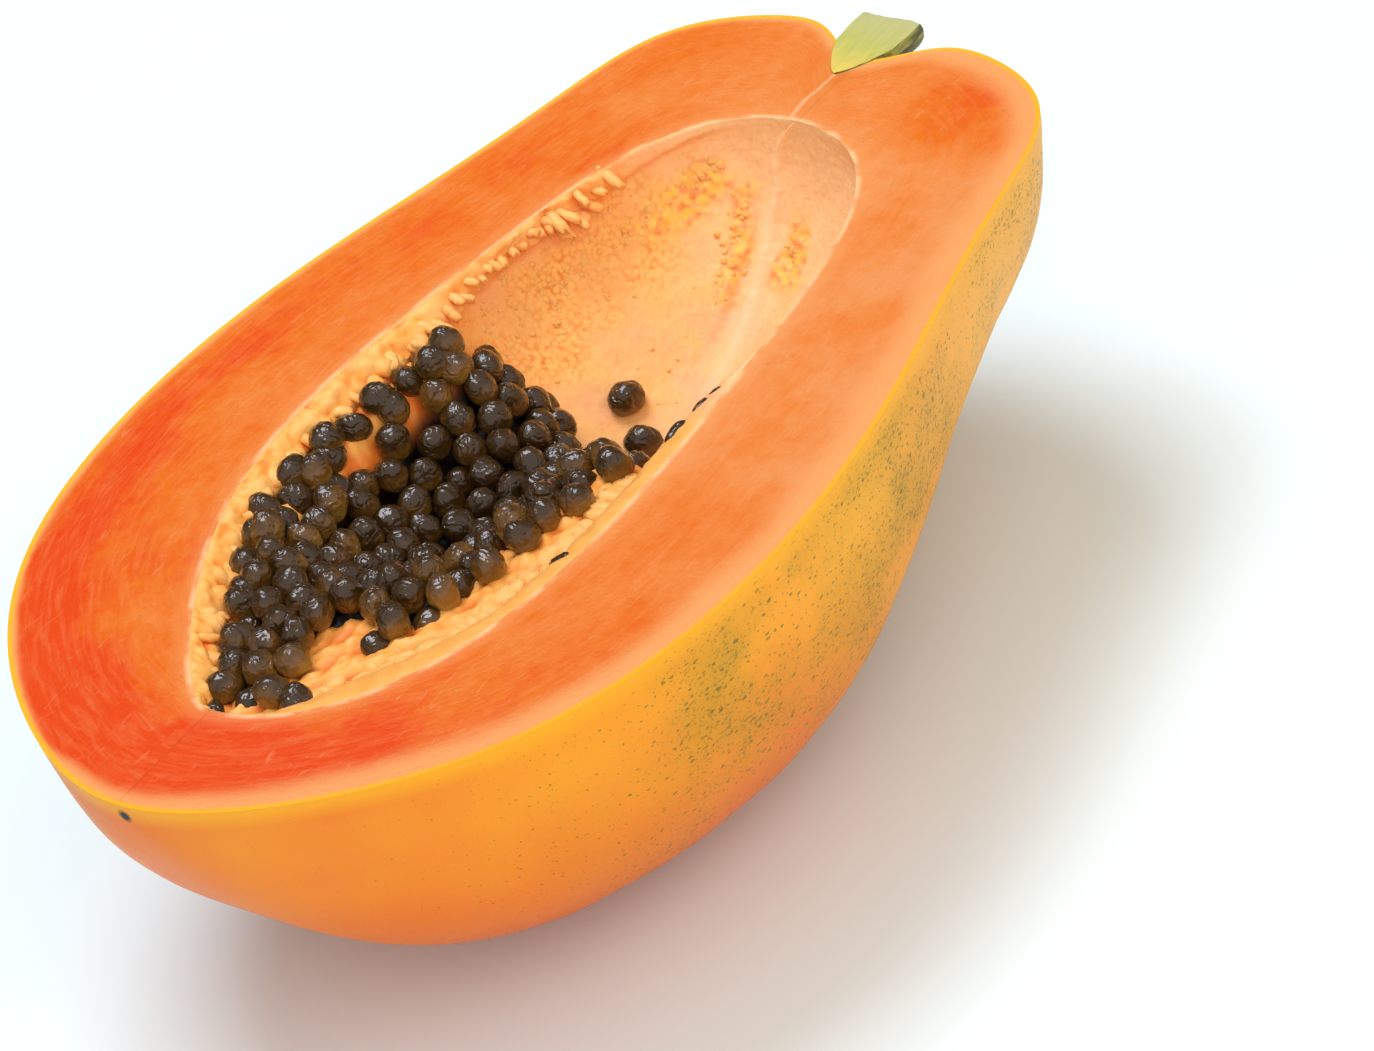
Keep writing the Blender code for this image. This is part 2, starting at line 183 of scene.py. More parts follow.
# Stubs of pulp on the far rim: from place to place, pitch, height and reach in mm
STUBS = (
    (113, 123, 2.4, -2.6, 1.8),
    (112, 120, 3.0, -5.0, 1.6),
    (124, 147, 1.9, -2.4, 1.3),
    (147, 160, 2.3, -2.2, 2.3),
    (148, 157, 2.6, -4.6, 2.4),
)

# Bits on the bare wall: from place in mm and degrees to place and degrees, spread, number and size in mm
GRAINS = (
    (161, -27, 175, -25, 1.0, 60, 0.80),
    (160, -33, 172, -34, 1.2, 60, 0.60),
    (174, -49, 160, -69, 1.2, 50, 0.60),
    (173, -84, 167, -93, 0.9, 22, 0.60),
    (124, -17, 160, -24, 2.8, 150, 0.55),
    (130, -32, 156, -38, 3.0, 70, 0.55),
    (118, -60, 160, -58, 6.0, 24, 0.45),
)

# How finely the fruit is made: stations along it, steps round the skin, across the cut, down the wall
STATIONS = 400
SKIN_STEPS = 44
CUT_STEPS = 18
WALL_STEPS_ROUND = 160


def linear(hex_colour):
    """An sRGB hex colour as linear red, green and blue."""
    parts = [int(hex_colour[k : k + 2], 16) / 255 for k in (0, 2, 4)]
    return tuple(c / 12.92 if c <= 0.04045 else ((c + 0.055) / 1.055) ** 2.4 for c in parts)


def opaque(colour):
    return (*colour[:3], 1.0)


def clamp(value, low=0.0, high=1.0):
    return max(low, min(high, value))


def smooth(value):
    value = clamp(value)
    return value * value * (3 - 2 * value)


def window(value, low, high, edge):
    """1 between low and high, falling off over edge on both sides."""
    return smooth((value - low) / edge + 0.5) * smooth((high - value) / edge + 0.5)


def swell(turn, terms):
    """Half width of a turned form at this turn of its meridian, for a belly of 1."""
    return math.sin(turn) * (1 + sum(term * math.cos((k + 1) * turn) for k, term in enumerate(terms)))


def outline(turn):
    half = HALF_WIDTH * swell(turn, OUTLINE_TERMS)
    along = LENGTH * (1 - math.cos(turn)) / 2
    if turn > math.pi / 2:
        along -= CLEFT_DEPTH * math.exp(-((half / CLEFT_WIDTH) ** 2))
    return along, half


def skin_point(turn, angle):
    along, half = outline(turn)
    ridge = RIDGE_AT_BELLY + (RIDGE_AT_ENDS - RIDGE_AT_BELLY) * math.cos(turn) ** 2
    half *= 1 - ridge * math.cos(CARPELS * (angle + math.pi / 2))
    across = half * math.cos(angle)
    up = half * math.sin(angle)
    if up < 0:
        lift = BACK_LIFT * smooth((along - BACK_LIFT_FROM) / BACK_LIFT_LENGTH)
        drop = TIP_DROP * clamp(1 - along / TIP_DROP_LENGTH) ** 2
        belly = BELLY_SHIFT * smooth((along - BELLY_FROM) / BELLY_LENGTH)
        up *= BACK_ROUNDNESS + belly - lift + drop
    return Vector((along, across, up))


def cavity_turn(along):
    share = clamp((along - CAVITY_START) / (CAVITY_END - CAVITY_START))
    return math.acos(1 - 2 * share)


def mouth(along, side):
    """Half width of the cavity in the cut face, on the near (-1) or far (+1) side."""
    turn = cavity_turn(along)
    return NEAR_MOUTH * swell(turn, NEAR_TERMS) if side < 0 else FAR_MOUTH * swell(turn, FAR_TERMS)


def shelf(along, side):
    """Width of the pulp shelf inside the mouth."""
    at_tip = NEAR_SHELF_AT_TIP * clamp((TIP_SHELF_END - along) / TIP_SHELF_FADE)
    full = NEAR_SHELF + at_tip if side < 0 else FAR_SHELF
    fade = 1 - smooth((along - SHELF_FADE_FROM) / SHELF_FADE_LENGTH)
    return min(full * fade, mouth(along, side) / 2)


def depth(along):
    return CAVITY_DEPTH * swell(cavity_turn(along), DEPTH_TERMS)


def wall_ridge(angle):
    return 1 + CAVITY_RIDGE * math.cos(CARPELS * (angle + math.pi / 2))


def cavity_point(turn, angle, inset=0.0):
    """A point of the cavity's wall below the cut face, drawn in by inset."""
    along = CAVITY_START + (CAVITY_END - CAVITY_START) * (1 - math.cos(turn)) / 2
    side = 1 if math.cos(angle) >= 0 else -1
    rim = mouth(along, side)
    drawn_in = along + inset * math.cos(turn)
    inner = rim - shelf(along, side)
    deep = max(depth(along), LEAST)
    below = abs(angle) if abs(angle) <= math.pi / 2 else math.pi - abs(angle)
    share = below / (math.pi / 2)
    drop = min(SHELF_DROP, deep / 2)
    first = math.asin(drop / deep)
    first_angle = -first if side > 0 else first - math.pi
    if share < SHELF_SHARE:
        part = share / SHELF_SHARE
        across = rim + (inner * wall_ridge(first_angle) * math.cos(first) - rim) * part
        return Vector((drawn_in, side * (across - inset), -drop * part**SHELF_CURVE))
    arc = first + (math.pi / 2 - first) * (share - SHELF_SHARE) / (1 - SHELF_SHARE)
    grow = wall_ridge(-arc if side > 0 else arc - math.pi)
    across = max(0.0, inner * grow - inset) * math.cos(arc)
    return Vector((drawn_in, side * across, -max(0.0, deep * grow - inset) * math.sin(arc)))


def wall_height(along, across, inset=0.0):
    """Height of the cavity's wall, drawn in by inset, at a place in plan."""
    side = 1 if across >= 0 else -1
    inner = mouth(along, side) - shelf(along, side)
    deep = depth(along)
    height = 0.0
    for _ in range(WALL_ROUNDS):
        angle = math.atan2(height / max(deep, LEAST), across / max(inner, LEAST)) if height else 0.0
        grow = wall_ridge(angle)
        reach = max(inner * grow - inset, LEAST)
        height = -max(deep * grow - inset, 0.0) * math.sqrt(clamp(1 - (across / reach) ** 2))
    return height


def heap_height(along, across):
    """Height of the middles of the top seeds: banks round a bowl, sloping down to the bare wall."""
    lengthwise = (along - BOWL_CENTRE[0]) / BOWL_REACH[0]
    crosswise = (across - BOWL_CENTRE[1]) / BOWL_REACH[1]
    height = BANK_LEVEL - BOWL_DEPTH * clamp(1 - lengthwise**2 - crosswise**2)
    start = HEAP_END + HEAP_SLANT * across + HEAP_BEND * abs(across)
    slope = smooth((along - start) / HEAP_SLOPE_LENGTH)
    return height + (HEAP_FOOT - height) * slope


def heap_holds(along, across):
    side = 1 if across >= 0 else -1
    room = mouth(along, side) - shelf(along, side) - SEED_ROOM
    if along < CAVITY_START + SEED_LENGTH or abs(across) > room:
        return False
    return heap_height(along, across) > wall_height(along, across, SEED_ROOM) - HEAP_OVERHANG


def seed_middle(along, across):
    floor = wall_height(along, across, SEED_ROOM)
    return Vector((along, across, max(heap_height(along, across), floor)))


def seed_places():
    """Middles of the seeds that show: thrown at random over the heap, then pushed apart."""
    rng = random.Random(RANDOM_SEED)
    middles = []
    while len(middles) < SEED_COUNT:
        along = rng.uniform(CAVITY_START, HEAP_END + 2 * HEAP_SLOPE_LENGTH)
        across = rng.uniform(-NEAR_MOUTH, FAR_MOUTH)
        if heap_holds(along, across):
            middles.append(seed_middle(along, across))
    for _ in range(SEED_ROUNDS):
        for k, one in enumerate(middles):
            push = Vector((0.0, 0.0, 0.0))
            for other in middles:
                away = one - other
                if 0 < away.length < SEED_PITCH:
                    push += away * (0.5 * (SEED_PITCH / away.length - 1))
            if heap_holds(one.x + push.x, one.y + push.y):
                middles[k] = seed_middle(one.x + push.x, one.y + push.y)
    kept = []
    for one in middles:
        if all((one - other).length > SEED_NEAREST for other in kept):
            kept.append(one)
    return kept


def bed_patch(spot):
    """Where pulp rises between the seeds of the blossom end, from 0 to 1."""
    return smooth((noise.noise(spot * 75) - 0.12) / 0.2) * (1 - smooth((spot.x * 1000 - 70) / 20))


def place(point):
    """From the blossom tip and the cut face to the part's own origin."""
    return Vector((point[0] - REST_X, point[1], point[2] + CUT_HEIGHT))


# Making meshes and materials


def add_piece(name, verts, faces, materials, marks=None, face_materials=None):
    """A smooth mesh object with its materials and with marks, one number a point, that they read."""
    mesh = bpy.data.meshes.new(name)
    mesh.from_pydata([tuple(v) for v in verts], [], faces)
    for material in materials:
        mesh.materials.append(material)
    if face_materials is not None:
        mesh.polygons.foreach_set("material_index", np.asarray(face_materials, dtype=np.int32))
    for label, values in (marks or {}).items():
        layer = mesh.attributes.new(label, "FLOAT", "POINT")
        layer.data.foreach_set("value", np.asarray(values, dtype=np.float32))
    mesh.shade_smooth()
    mesh.update()
    piece = bpy.data.objects.new(name, mesh)
    bpy.context.scene.collection.objects.link(piece)
    return piece


def feed(node, inputs):
    """Gives a node's inputs their values. A node or its output is linked, and a node's first live output counts."""
    for name, value in inputs.items():
        if isinstance(value, bpy.types.Node):
            value = next(output for output in value.outputs if output.enabled)
        if isinstance(value, bpy.types.NodeSocket):
            node.id_data.links.new(value, node.inputs[name])
        else:
            node.inputs[name].default_value = value


def add_node(tree, kind, inputs=None, stops=None, **settings):
    """Adds a shader node with its settings and inputs. stops are a ramp's."""
    made = tree.nodes.new("ShaderNode" + kind)
    for name, value in settings.items():
        setattr(made, name, value)
    if stops:
        elements = made.color_ramp.elements
        while len(elements) < len(stops):
            elements.new(1.0)
        for element, (position, colour) in zip(elements, stops):
            element.position = position
            element.color = opaque(colour)
    feed(made, inputs or {})
    return made


def new_material(name):
    """An empty Principled material, with what adds nodes to it and its shader."""
    material = bpy.data.materials.new(name)
    material.use_nodes = True
    tree = material.node_tree
    return material, functools.partial(add_node, tree), tree.nodes["Principled BSDF"]


def sphere_points(sides, rings):
    """Directions and faces of a sphere, for seeds and lumps."""
    points = [Vector((0, 0, -1))]
    for ring in range(1, rings):
        low = math.pi * ring / rings
        for k in range(sides):
            turn = 2 * math.pi * (k + 0.5 * (ring % 2)) / sides
            points.append(Vector((math.sin(low) * math.cos(turn), math.sin(low) * math.sin(turn), -math.cos(low))))
    points.append(Vector((0, 0, 1)))
    faces = [(0, 1 + (k + 1) % sides, 1 + k) for k in range(sides)]
    for ring in range(rings - 2):
        low, high = 1 + ring * sides, 1 + (ring + 1) * sides
        for k in range(sides):
            n = (k + 1) % sides
            faces.append((low + k, low + n, high + n, high + k))
    last, top = 1 + (rings - 2) * sides, len(points) - 1
    faces += [(last + k, last + (k + 1) % sides, top) for k in range(sides)]
    return points, faces


# The fruit


def pulp_share(along, across):
    """1 where pulp lines the wall, among and beside the seeds, and 0 on the bare wall."""
    wander = 4 * noise.noise(Vector((along, across, 0)) * 160)
    edge = 108 + (300 if across > 0 else 100) * across + wander
    return 1 - smooth((along * 1000 - edge) / 10)


def along_line(value, places):
    """Straight-line interpolation between (place, value) pairs."""
    for (low, at_low), (high, at_high) in zip(places, places[1:]):
        if value <= high:
            return at_low + (at_high - at_low) * clamp((value - low) / (high - low))
    return places[-1][1]


def wall_marks(point, round_mm):
    """Relief of the cavity's wall in millimetres, and where its pulp, pits, flecks and seams are, with painted shade
    at the step and beside the seam and painted light towards the stem.
    """
    along, across, height = point.x * 1000, point.y * 1000, point.z * 1000
    angle = math.degrees(math.atan2(height, across))
    pulp = pulp_share(point.x, point.y)
    wide = point * 1000
    far = across > 0
    # Folds of the pulp run down the wall, about 3.4 mm apart on the far side and 4 mm on the near side
    fold = round_mm / (3.4 if far else 4.2) + 1.5 * noise.noise(wide / 6) + 0.5 * noise.noise(wide / 2.2)
    crimp = abs(math.sin(math.pi * fold)) ** 0.7 - 0.55
    broad = noise.noise(wide / 3.1)
    lumps = 0.55 * crimp + 1.0 * broad + 0.25 * noise.noise(wide / 1.3)
    lumps = lumps if far else 0.18 * crimp + 0.30 * broad + 0.08 * noise.noise(wide / 1.1)
    # The band under the far rim carries soft pulp and ends in a step
    level = along_line(along, STEP)
    inside = window(along, 122, 177, 6) * (1.0 if far else 0.0)
    band = smooth((height - level) / 0.8 + 0.5) * inside
    pulp = max(pulp, 0.8 * band * (1 - smooth((along - 156) / 10)))
    ragged = noise.noise(wide / 6) * 9
    grain = window(angle + ragged, -46, -12, 16) * window(along + ragged, 117, 165, 22) * (1 - pulp)
    flecks = window(angle + ragged * 0.4, -39, -20, 8) * window(along + ragged * 0.3, 159, 176, 5)
    line = along_line(along, LEFT_FLECKS)
    flecks += math.exp(-(((angle - line + ragged * 0.4) / 7) ** 2)) * window(along, 159, 176, 4)
    flecks += window(angle + ragged * 0.4, -96, -81, 6) * window(along, 165, 175, 4)
    flecks = clamp(flecks) * (1 - pulp)
    seam = along_line(along, SEAM)
    ridge = math.exp(-(((angle - seam) / 4.5) ** 2)) * window(along, 142, 181, 8) * (1 - pulp)
    # Painted shade: a darker line along the foot of the step under the far rim
    step = math.exp(-(((height - level + 0.5) / 0.55) ** 2)) * inside
    relief = pulp * lumps + (1 - pulp) * (0.12 * noise.noise(wide / 1.6) + 0.25 * noise.noise(wide / 5))
    relief += grain * (0.35 * noise.noise(wide / 1.3)) + flecks * (0.25 + 0.6 * noise.noise(wide / 1.5))
    relief += 0.7 * ridge + 0.45 * band
    # Painted shadow: a darker line beside the seam's ridge
    beside = math.exp(-(((angle - seam - 9) / 2.2) ** 2)) * window(along, 152, 172, 6) * (1 - pulp)
    stemward = max(smooth(-across / 6), smooth((along - 168) / 8)) * smooth((along - 112) / 10)
    return relief, {
        "pulp": pulp,
        "grain": grain,
        "flecks": flecks,
        "seam": clamp(ridge),
        "step": clamp(step + 0.7 * beside),
        # The material paints the pulp lighter on its crests and darker in its folds from this, as painted light and
        # shade
        "height": lumps,
        "lip": math.exp(height / 1.2) * stemward * clamp(0.75 + 1.2 * noise.noise(wide / 1.4)),
        # Painted light: the wall is made paler towards the stem end, against the shade of its steep, deep end
        "pale": smooth((along - 150) / 25) * (1 - grain) * (1 - flecks),
    }


def redness(point, from_rind):
    """How red the cut flesh is, from 0, peach, to 1."""
    along, across = point.x * 1000, point.y * 1000
    red = 0.60 - 0.26 * smooth((along - 10) / 120) + 0.12 * smooth(across / 30)
    red += 0.33 * math.exp(-(((from_rind - 8) / 6) ** 2)) * (1 - smooth((along - 60) / 70)) * smooth(across / 60 + 1)
    red -= 0.20 * smooth((along - 50) / 60) * smooth(-across / 20)
    red -= 0.12 * smooth((along - 165) / 20)
    red += 0.76 * math.exp(-(((along - 193) / 15) ** 2) - (((across + 29) / 15) ** 2))
    red += 0.36 * math.exp(-(((along - 14) / 12) ** 2))
    red += 0.12 * math.exp(-(((from_rind - 14) / 6) ** 2)) * smooth((110 - along) / 60) * smooth(-across / 20)
    red -= 0.10 * smooth((from_rind - 20) / 8) * smooth((along - 60) / 30) * smooth(-across / 20)
    red += 0.12 * smooth((52 - along) / 25) * smooth((10 - across) / 20)
    red += 0.22 * math.exp(-(((from_rind - 9) / 6) ** 2)) * smooth(across / 10)
    return red


def skin_relief(point):
    """Dents and undulations of the skin in metres, fading out towards the cut edge."""
    fade = smooth(-point.z / 0.006)
    broad = noise.noise(point * 26) * 0.7 + noise.noise(point * 70) * 0.22 + noise.noise(point * 210) * 0.07
    return fade * broad * MM


def fruit_points(relief):
    """Points, marks and faces of the fruit as one closed form: skin, cut face and cavity wall."""
    verts, marks = [], {name: [] for name in MARKS}

    def add(point, **values):
        verts.append(point)
        for name, numbers in marks.items():
            numbers.append(values.get(name, 0.0))
        return len(verts) - 1

    turns = [math.pi * k / STATIONS for k in range(STATIONS + 1)]
    skin, wall, cut = {}, {}, {}
    round_mm, mouth_mm = {}, {}
    for side, edge in ((0, 0.0), (1, -math.pi)):
        for distances, rim in ((round_mm, skin_point), (mouth_mm, cavity_point)):
            distances[0, side] = 500 * side
            for i in range(1, STATIONS + 1):
                step = rim(turns[i], edge) - rim(turns[i - 1], edge)
                distances[i, side] = distances[i - 1, side] + step.length * 1000
    for i, turn in enumerate(turns):
        pole = i in (0, STATIONS)
        for j in range(SKIN_STEPS + 1):
            if pole and j:
                skin[i, j] = skin[i, 0]
                continue
            angle = -math.pi * j / SKIN_STEPS
            point = skin_point(turn, angle)
            if not pole and 0 < j < SKIN_STEPS:
                near = skin_point(turn, angle + NUDGE) - skin_point(turn, angle - NUDGE)
                on = skin_point(min(turn + NUDGE, math.pi), angle) - skin_point(max(turn - NUDGE, 0), angle)
                out = near.cross(on)
                out = -out if out.dot(Vector((0, point.y, point.z))) < 0 else out
                if out.length > 0:
                    point = point + out.normalized() * skin_relief(point)
                    point.z = clamp(point.z, -CUT_HEIGHT, -0.0001)
            skin[i, j] = add(place(point), rind=0.0, rim=50.0)
    for i, turn in enumerate(turns):
        pole = i in (0, STATIONS)
        for k in range(WALL_STEPS_ROUND + 1):
            if pole and k:
                wall[i, k] = wall[i, 0]
                continue
            angle = -math.pi * k / WALL_STEPS_ROUND
            point = cavity_point(turn, angle)
            marked = {"rind": 30.0, "rim": 0.0}
            if not pole and 0 < k < WALL_STEPS_ROUND:
                side = 0 if k < WALL_STEPS_ROUND / 2 else 1
                height, more = wall_marks(point, mouth_mm[i, side])
                down = cavity_point(turn, angle - NUDGE) - cavity_point(turn, angle + NUDGE)
                on = cavity_point(turn + NUDGE, angle) - cavity_point(turn - NUDGE, angle)
                inward = down.cross(on)
                inward = -inward if inward.dot(Vector((0, -point.y, -point.z))) < 0 else inward
                from_mouth = min(k, WALL_STEPS_ROUND - k) / 6
                if inward.length > 0:
                    point = point + inward.normalized() * height * clamp(from_mouth) * relief * MM
                marked.update(more, rim=max(-point.z, 0.0) * 1000)
            wall[i, k] = add(place(point), **marked)
    for i, turn in enumerate(turns):
        for side in (0, 1):
            if i in (0, STATIONS) and side:
                for s in range(CUT_STEPS + 1):
                    cut[i, 1, s] = cut[i, 0, s]
                continue
            outer = skin[i, 0 if side == 0 else SKIN_STEPS]
            inner = wall[i, 0 if side == 0 else WALL_STEPS_ROUND]
            start, end = verts[outer], verts[inner]
            width = (end - start).length * 1000
            cut[i, side, 0], cut[i, side, CUT_STEPS] = outer, inner
            for s in range(1, CUT_STEPS):
                share = (1 - math.cos(math.pi * s / CUT_STEPS)) / 2
                point = start.lerp(end, share)
                from_rind, from_rim = width * share, width * (1 - share)
                edge = 0.25 * math.exp(-from_rind / 0.35)
                waves = 0.10 * noise.noise(point * 90) + 0.05 * noise.noise(point * 330) - 0.05
                point.z += (min(waves, 0.0) * clamp(from_rind) * clamp(from_rim / 2) - edge * 0.2) * MM
                red = redness(point + Vector((REST_X, 0, 0)), from_rind)
                cut[i, side, s] = add(point, rind=from_rind, rim=from_rim, round=round_mm[i, side], red=red)
            for corner, from_rind in ((outer, 0.0), (inner, width)):
                marks["round"][corner] = round_mm[i, side]
                marks["red"][corner] = redness(verts[corner] + Vector((REST_X, 0, 0)), from_rind)
    faces, kinds = [], []

    def face(kind, *corners):
        corners = [c for n, c in enumerate(corners) if c not in corners[:n]]
        if len(corners) > 2:
            faces.append(tuple(corners))
            kinds.append(kind)

    for i in range(STATIONS):
        for j in range(SKIN_STEPS):
            face(0, skin[i, j], skin[i, j + 1], skin[i + 1, j + 1], skin[i + 1, j])
        for s in range(CUT_STEPS):
            face(1, cut[i, 0, s], cut[i + 1, 0, s], cut[i + 1, 0, s + 1], cut[i, 0, s + 1])
            face(1, cut[i, 1, s + 1], cut[i + 1, 1, s + 1], cut[i + 1, 1, s], cut[i, 1, s])
        for k in range(WALL_STEPS_ROUND):
            face(2, wall[i, k], wall[i + 1, k], wall[i + 1, k + 1], wall[i, k + 1])
    return verts, faces, kinds, marks


def skin_material(look):
    """Waxy skin of a ripe papaya: smooth cuticle over orange and yellow, with fine olive flecks that
    give it a freckled, half glossy look."""
    material, add, shader = new_material("Papaya skin, ripe and waxy")
    spot = add("NewGeometry")
    parts = add("SeparateXYZ", {0: spot})
    along, up = parts.outputs["X"], parts.outputs["Z"]
    # Patches of 30 to 60 mm that ripened apart
    patches = add("TexNoise", {"Vector": spot, "Scale": 24.0, "Detail": 3.0})
    uneven = add("Math", {0: patches, 1: 0.5}, operation="SUBTRACT")
    # Deep orange below and at the blossom end, yellow higher up
    high = add("MapRange", {"Value": up, "From Min": 0.006, "From Max": 0.060})
    to_stem = add("MapRange", {"Value": along, "From Min": -0.095, "From Max": 0.075})
    both = add("Math", {0: high, 1: to_stem}, operation="ADD")
    ripe = add("Math", {0: uneven, 1: 1.3, 2: both}, operation="MULTIPLY_ADD")
    ripe = add("Math", {0: ripe, 1: 0.5}, operation="MULTIPLY")
    tones = (0.10, look.skin_deep), (0.42, look.skin_orange), (0.72, look.skin_yellow), (0.95, look.skin_green)
    coloured = add("ValToRGB", {0: ripe}, stops=tones)
    # Olive clouds, and one mustard cloud under the cut edge on the near side
    clouds = add("TexNoise", {"Vector": spot, "Scale": 38.0, "Detail": 4.0, "Roughness": 0.62})
    olive = add("MapRange", {"Value": clouds, "From Min": 0.42, "From Max": 0.62})
    stemward = add("MapRange", {"Value": along, "From Min": -0.07, "From Max": 0.03})
    olive = add("Math", {0: olive, 1: stemward}, operation="MULTIPLY")
    from_cloud = add("VectorMath", {0: spot, 1: MUSTARD_CLOUD}, operation="DISTANCE")
    mustard = add("MapRange", {"Value": from_cloud, "From Min": 0.034, "From Max": 0.012})
    ragged = add("MapRange", {"Value": clouds, "From Min": 0.35, "From Max": 0.55})
    mustard = add("Math", {0: mustard, 1: ragged}, operation="MULTIPLY")
    olive = add("Math", {0: olive, 1: mustard}, operation="MAXIMUM")
    upper = add("MapRange", {"Value": up, "From Min": 0.010, "From Max": 0.055, "To Min": 0.35})
    fading = {"Value": along, "From Min": 0.015, "From Max": 0.06, "To Min": 0.62, "To Max": 0.20}
    paler = add("MapRange", fading)
    tint = add("Math", {0: olive, 1: upper}, operation="MULTIPLY")
    tint = add("Math", {0: tint, 1: paler}, operation="MULTIPLY")
    layers = [(tint, look.skin_olive)]
    # Flecks of 0.4 to 1.2 mm, drawn out along the fruit, and specks of 0.2 mm, closer in the clouds
    bent = add("TexNoise", {"Vector": spot, "Scale": 900.0, "Detail": 1.0})
    shift = {0: bent.outputs["Color"], 1: (0.0007, 0.0007, 0.0007), 2: spot}
    bent = add("VectorMath", shift, operation="MULTIPLY_ADD")
    fewer = add("MapRange", {"Value": along, "From Min": -0.09, "From Max": -0.035, "To Min": 0.40})
    for scale, largest, share, in_clouds in SKIN_FLECKS:
        stretched = add("Mapping", {"Vector": bent, "Scale": scale})
        cells = add("TexVoronoi", {"Vector": stretched, "Scale": 1.0})
        chance = add("SeparateColor", {0: cells.outputs["Color"]})
        reach = add("MapRange", {"Value": chance, "From Min": 0.10, "To Max": largest})
        density = add("Math", {0: olive, 1: in_clouds, 2: 1 - in_clouds}, operation="MULTIPLY_ADD")
        density = add("Math", {0: density, 1: fewer}, operation="MULTIPLY")
        reach = add("Math", {0: reach, 1: density}, operation="MULTIPLY")
        inside = add("Math", {0: reach, 1: cells}, operation="SUBTRACT")
        fleck = add("MapRange", {"Value": inside, "From Max": 0.08, "To Max": share})
        layers.append((fleck, look.skin_fleck))
    # A brighter yellow strip right under the cut edge, and the dark blossom scar, about 2 mm wide
    below = {"Value": up, "From Min": CUT_HEIGHT - 0.0042, "From Max": CUT_HEIGHT - 0.0010, "To Max": 0.8}
    strip = add("MapRange", below)
    away = add("VectorMath", {0: spot, 1: tuple(place(BLOSSOM_SCAR))}, operation="DISTANCE")
    scar = add("MapRange", {"Value": away, "From Min": 0.0016, "From Max": 0.0007})
    layers += [(strip, look.skin_edge), (scar, look.scar)]
    for share, colour in layers:
        coloured = add("Mix", {0: share, 6: coloured, 7: opaque(colour)}, data_type="RGBA")
    # Pores and faint wrinkles of 0.5 mm break up the wax's gloss
    pores = add("TexNoise", {"Vector": spot, "Scale": 900.0, "Detail": 3.0})
    bump = add("Bump", {"Height": pores, "Strength": 0.35, "Distance": 0.0002})
    gloss = add("MapRange", {"Value": clouds, "To Min": 0.34, "To Max": 0.50})
    feed(shader, {"Base Color": coloured, "Normal": bump, "Roughness": gloss, "IOR": 1.42, "Specular IOR Level": 0.25})
    feed(shader, {"Subsurface Weight": 0.12, "Subsurface Radius": (1.0, 0.5, 0.2), "Subsurface Scale": 0.002})
    return material


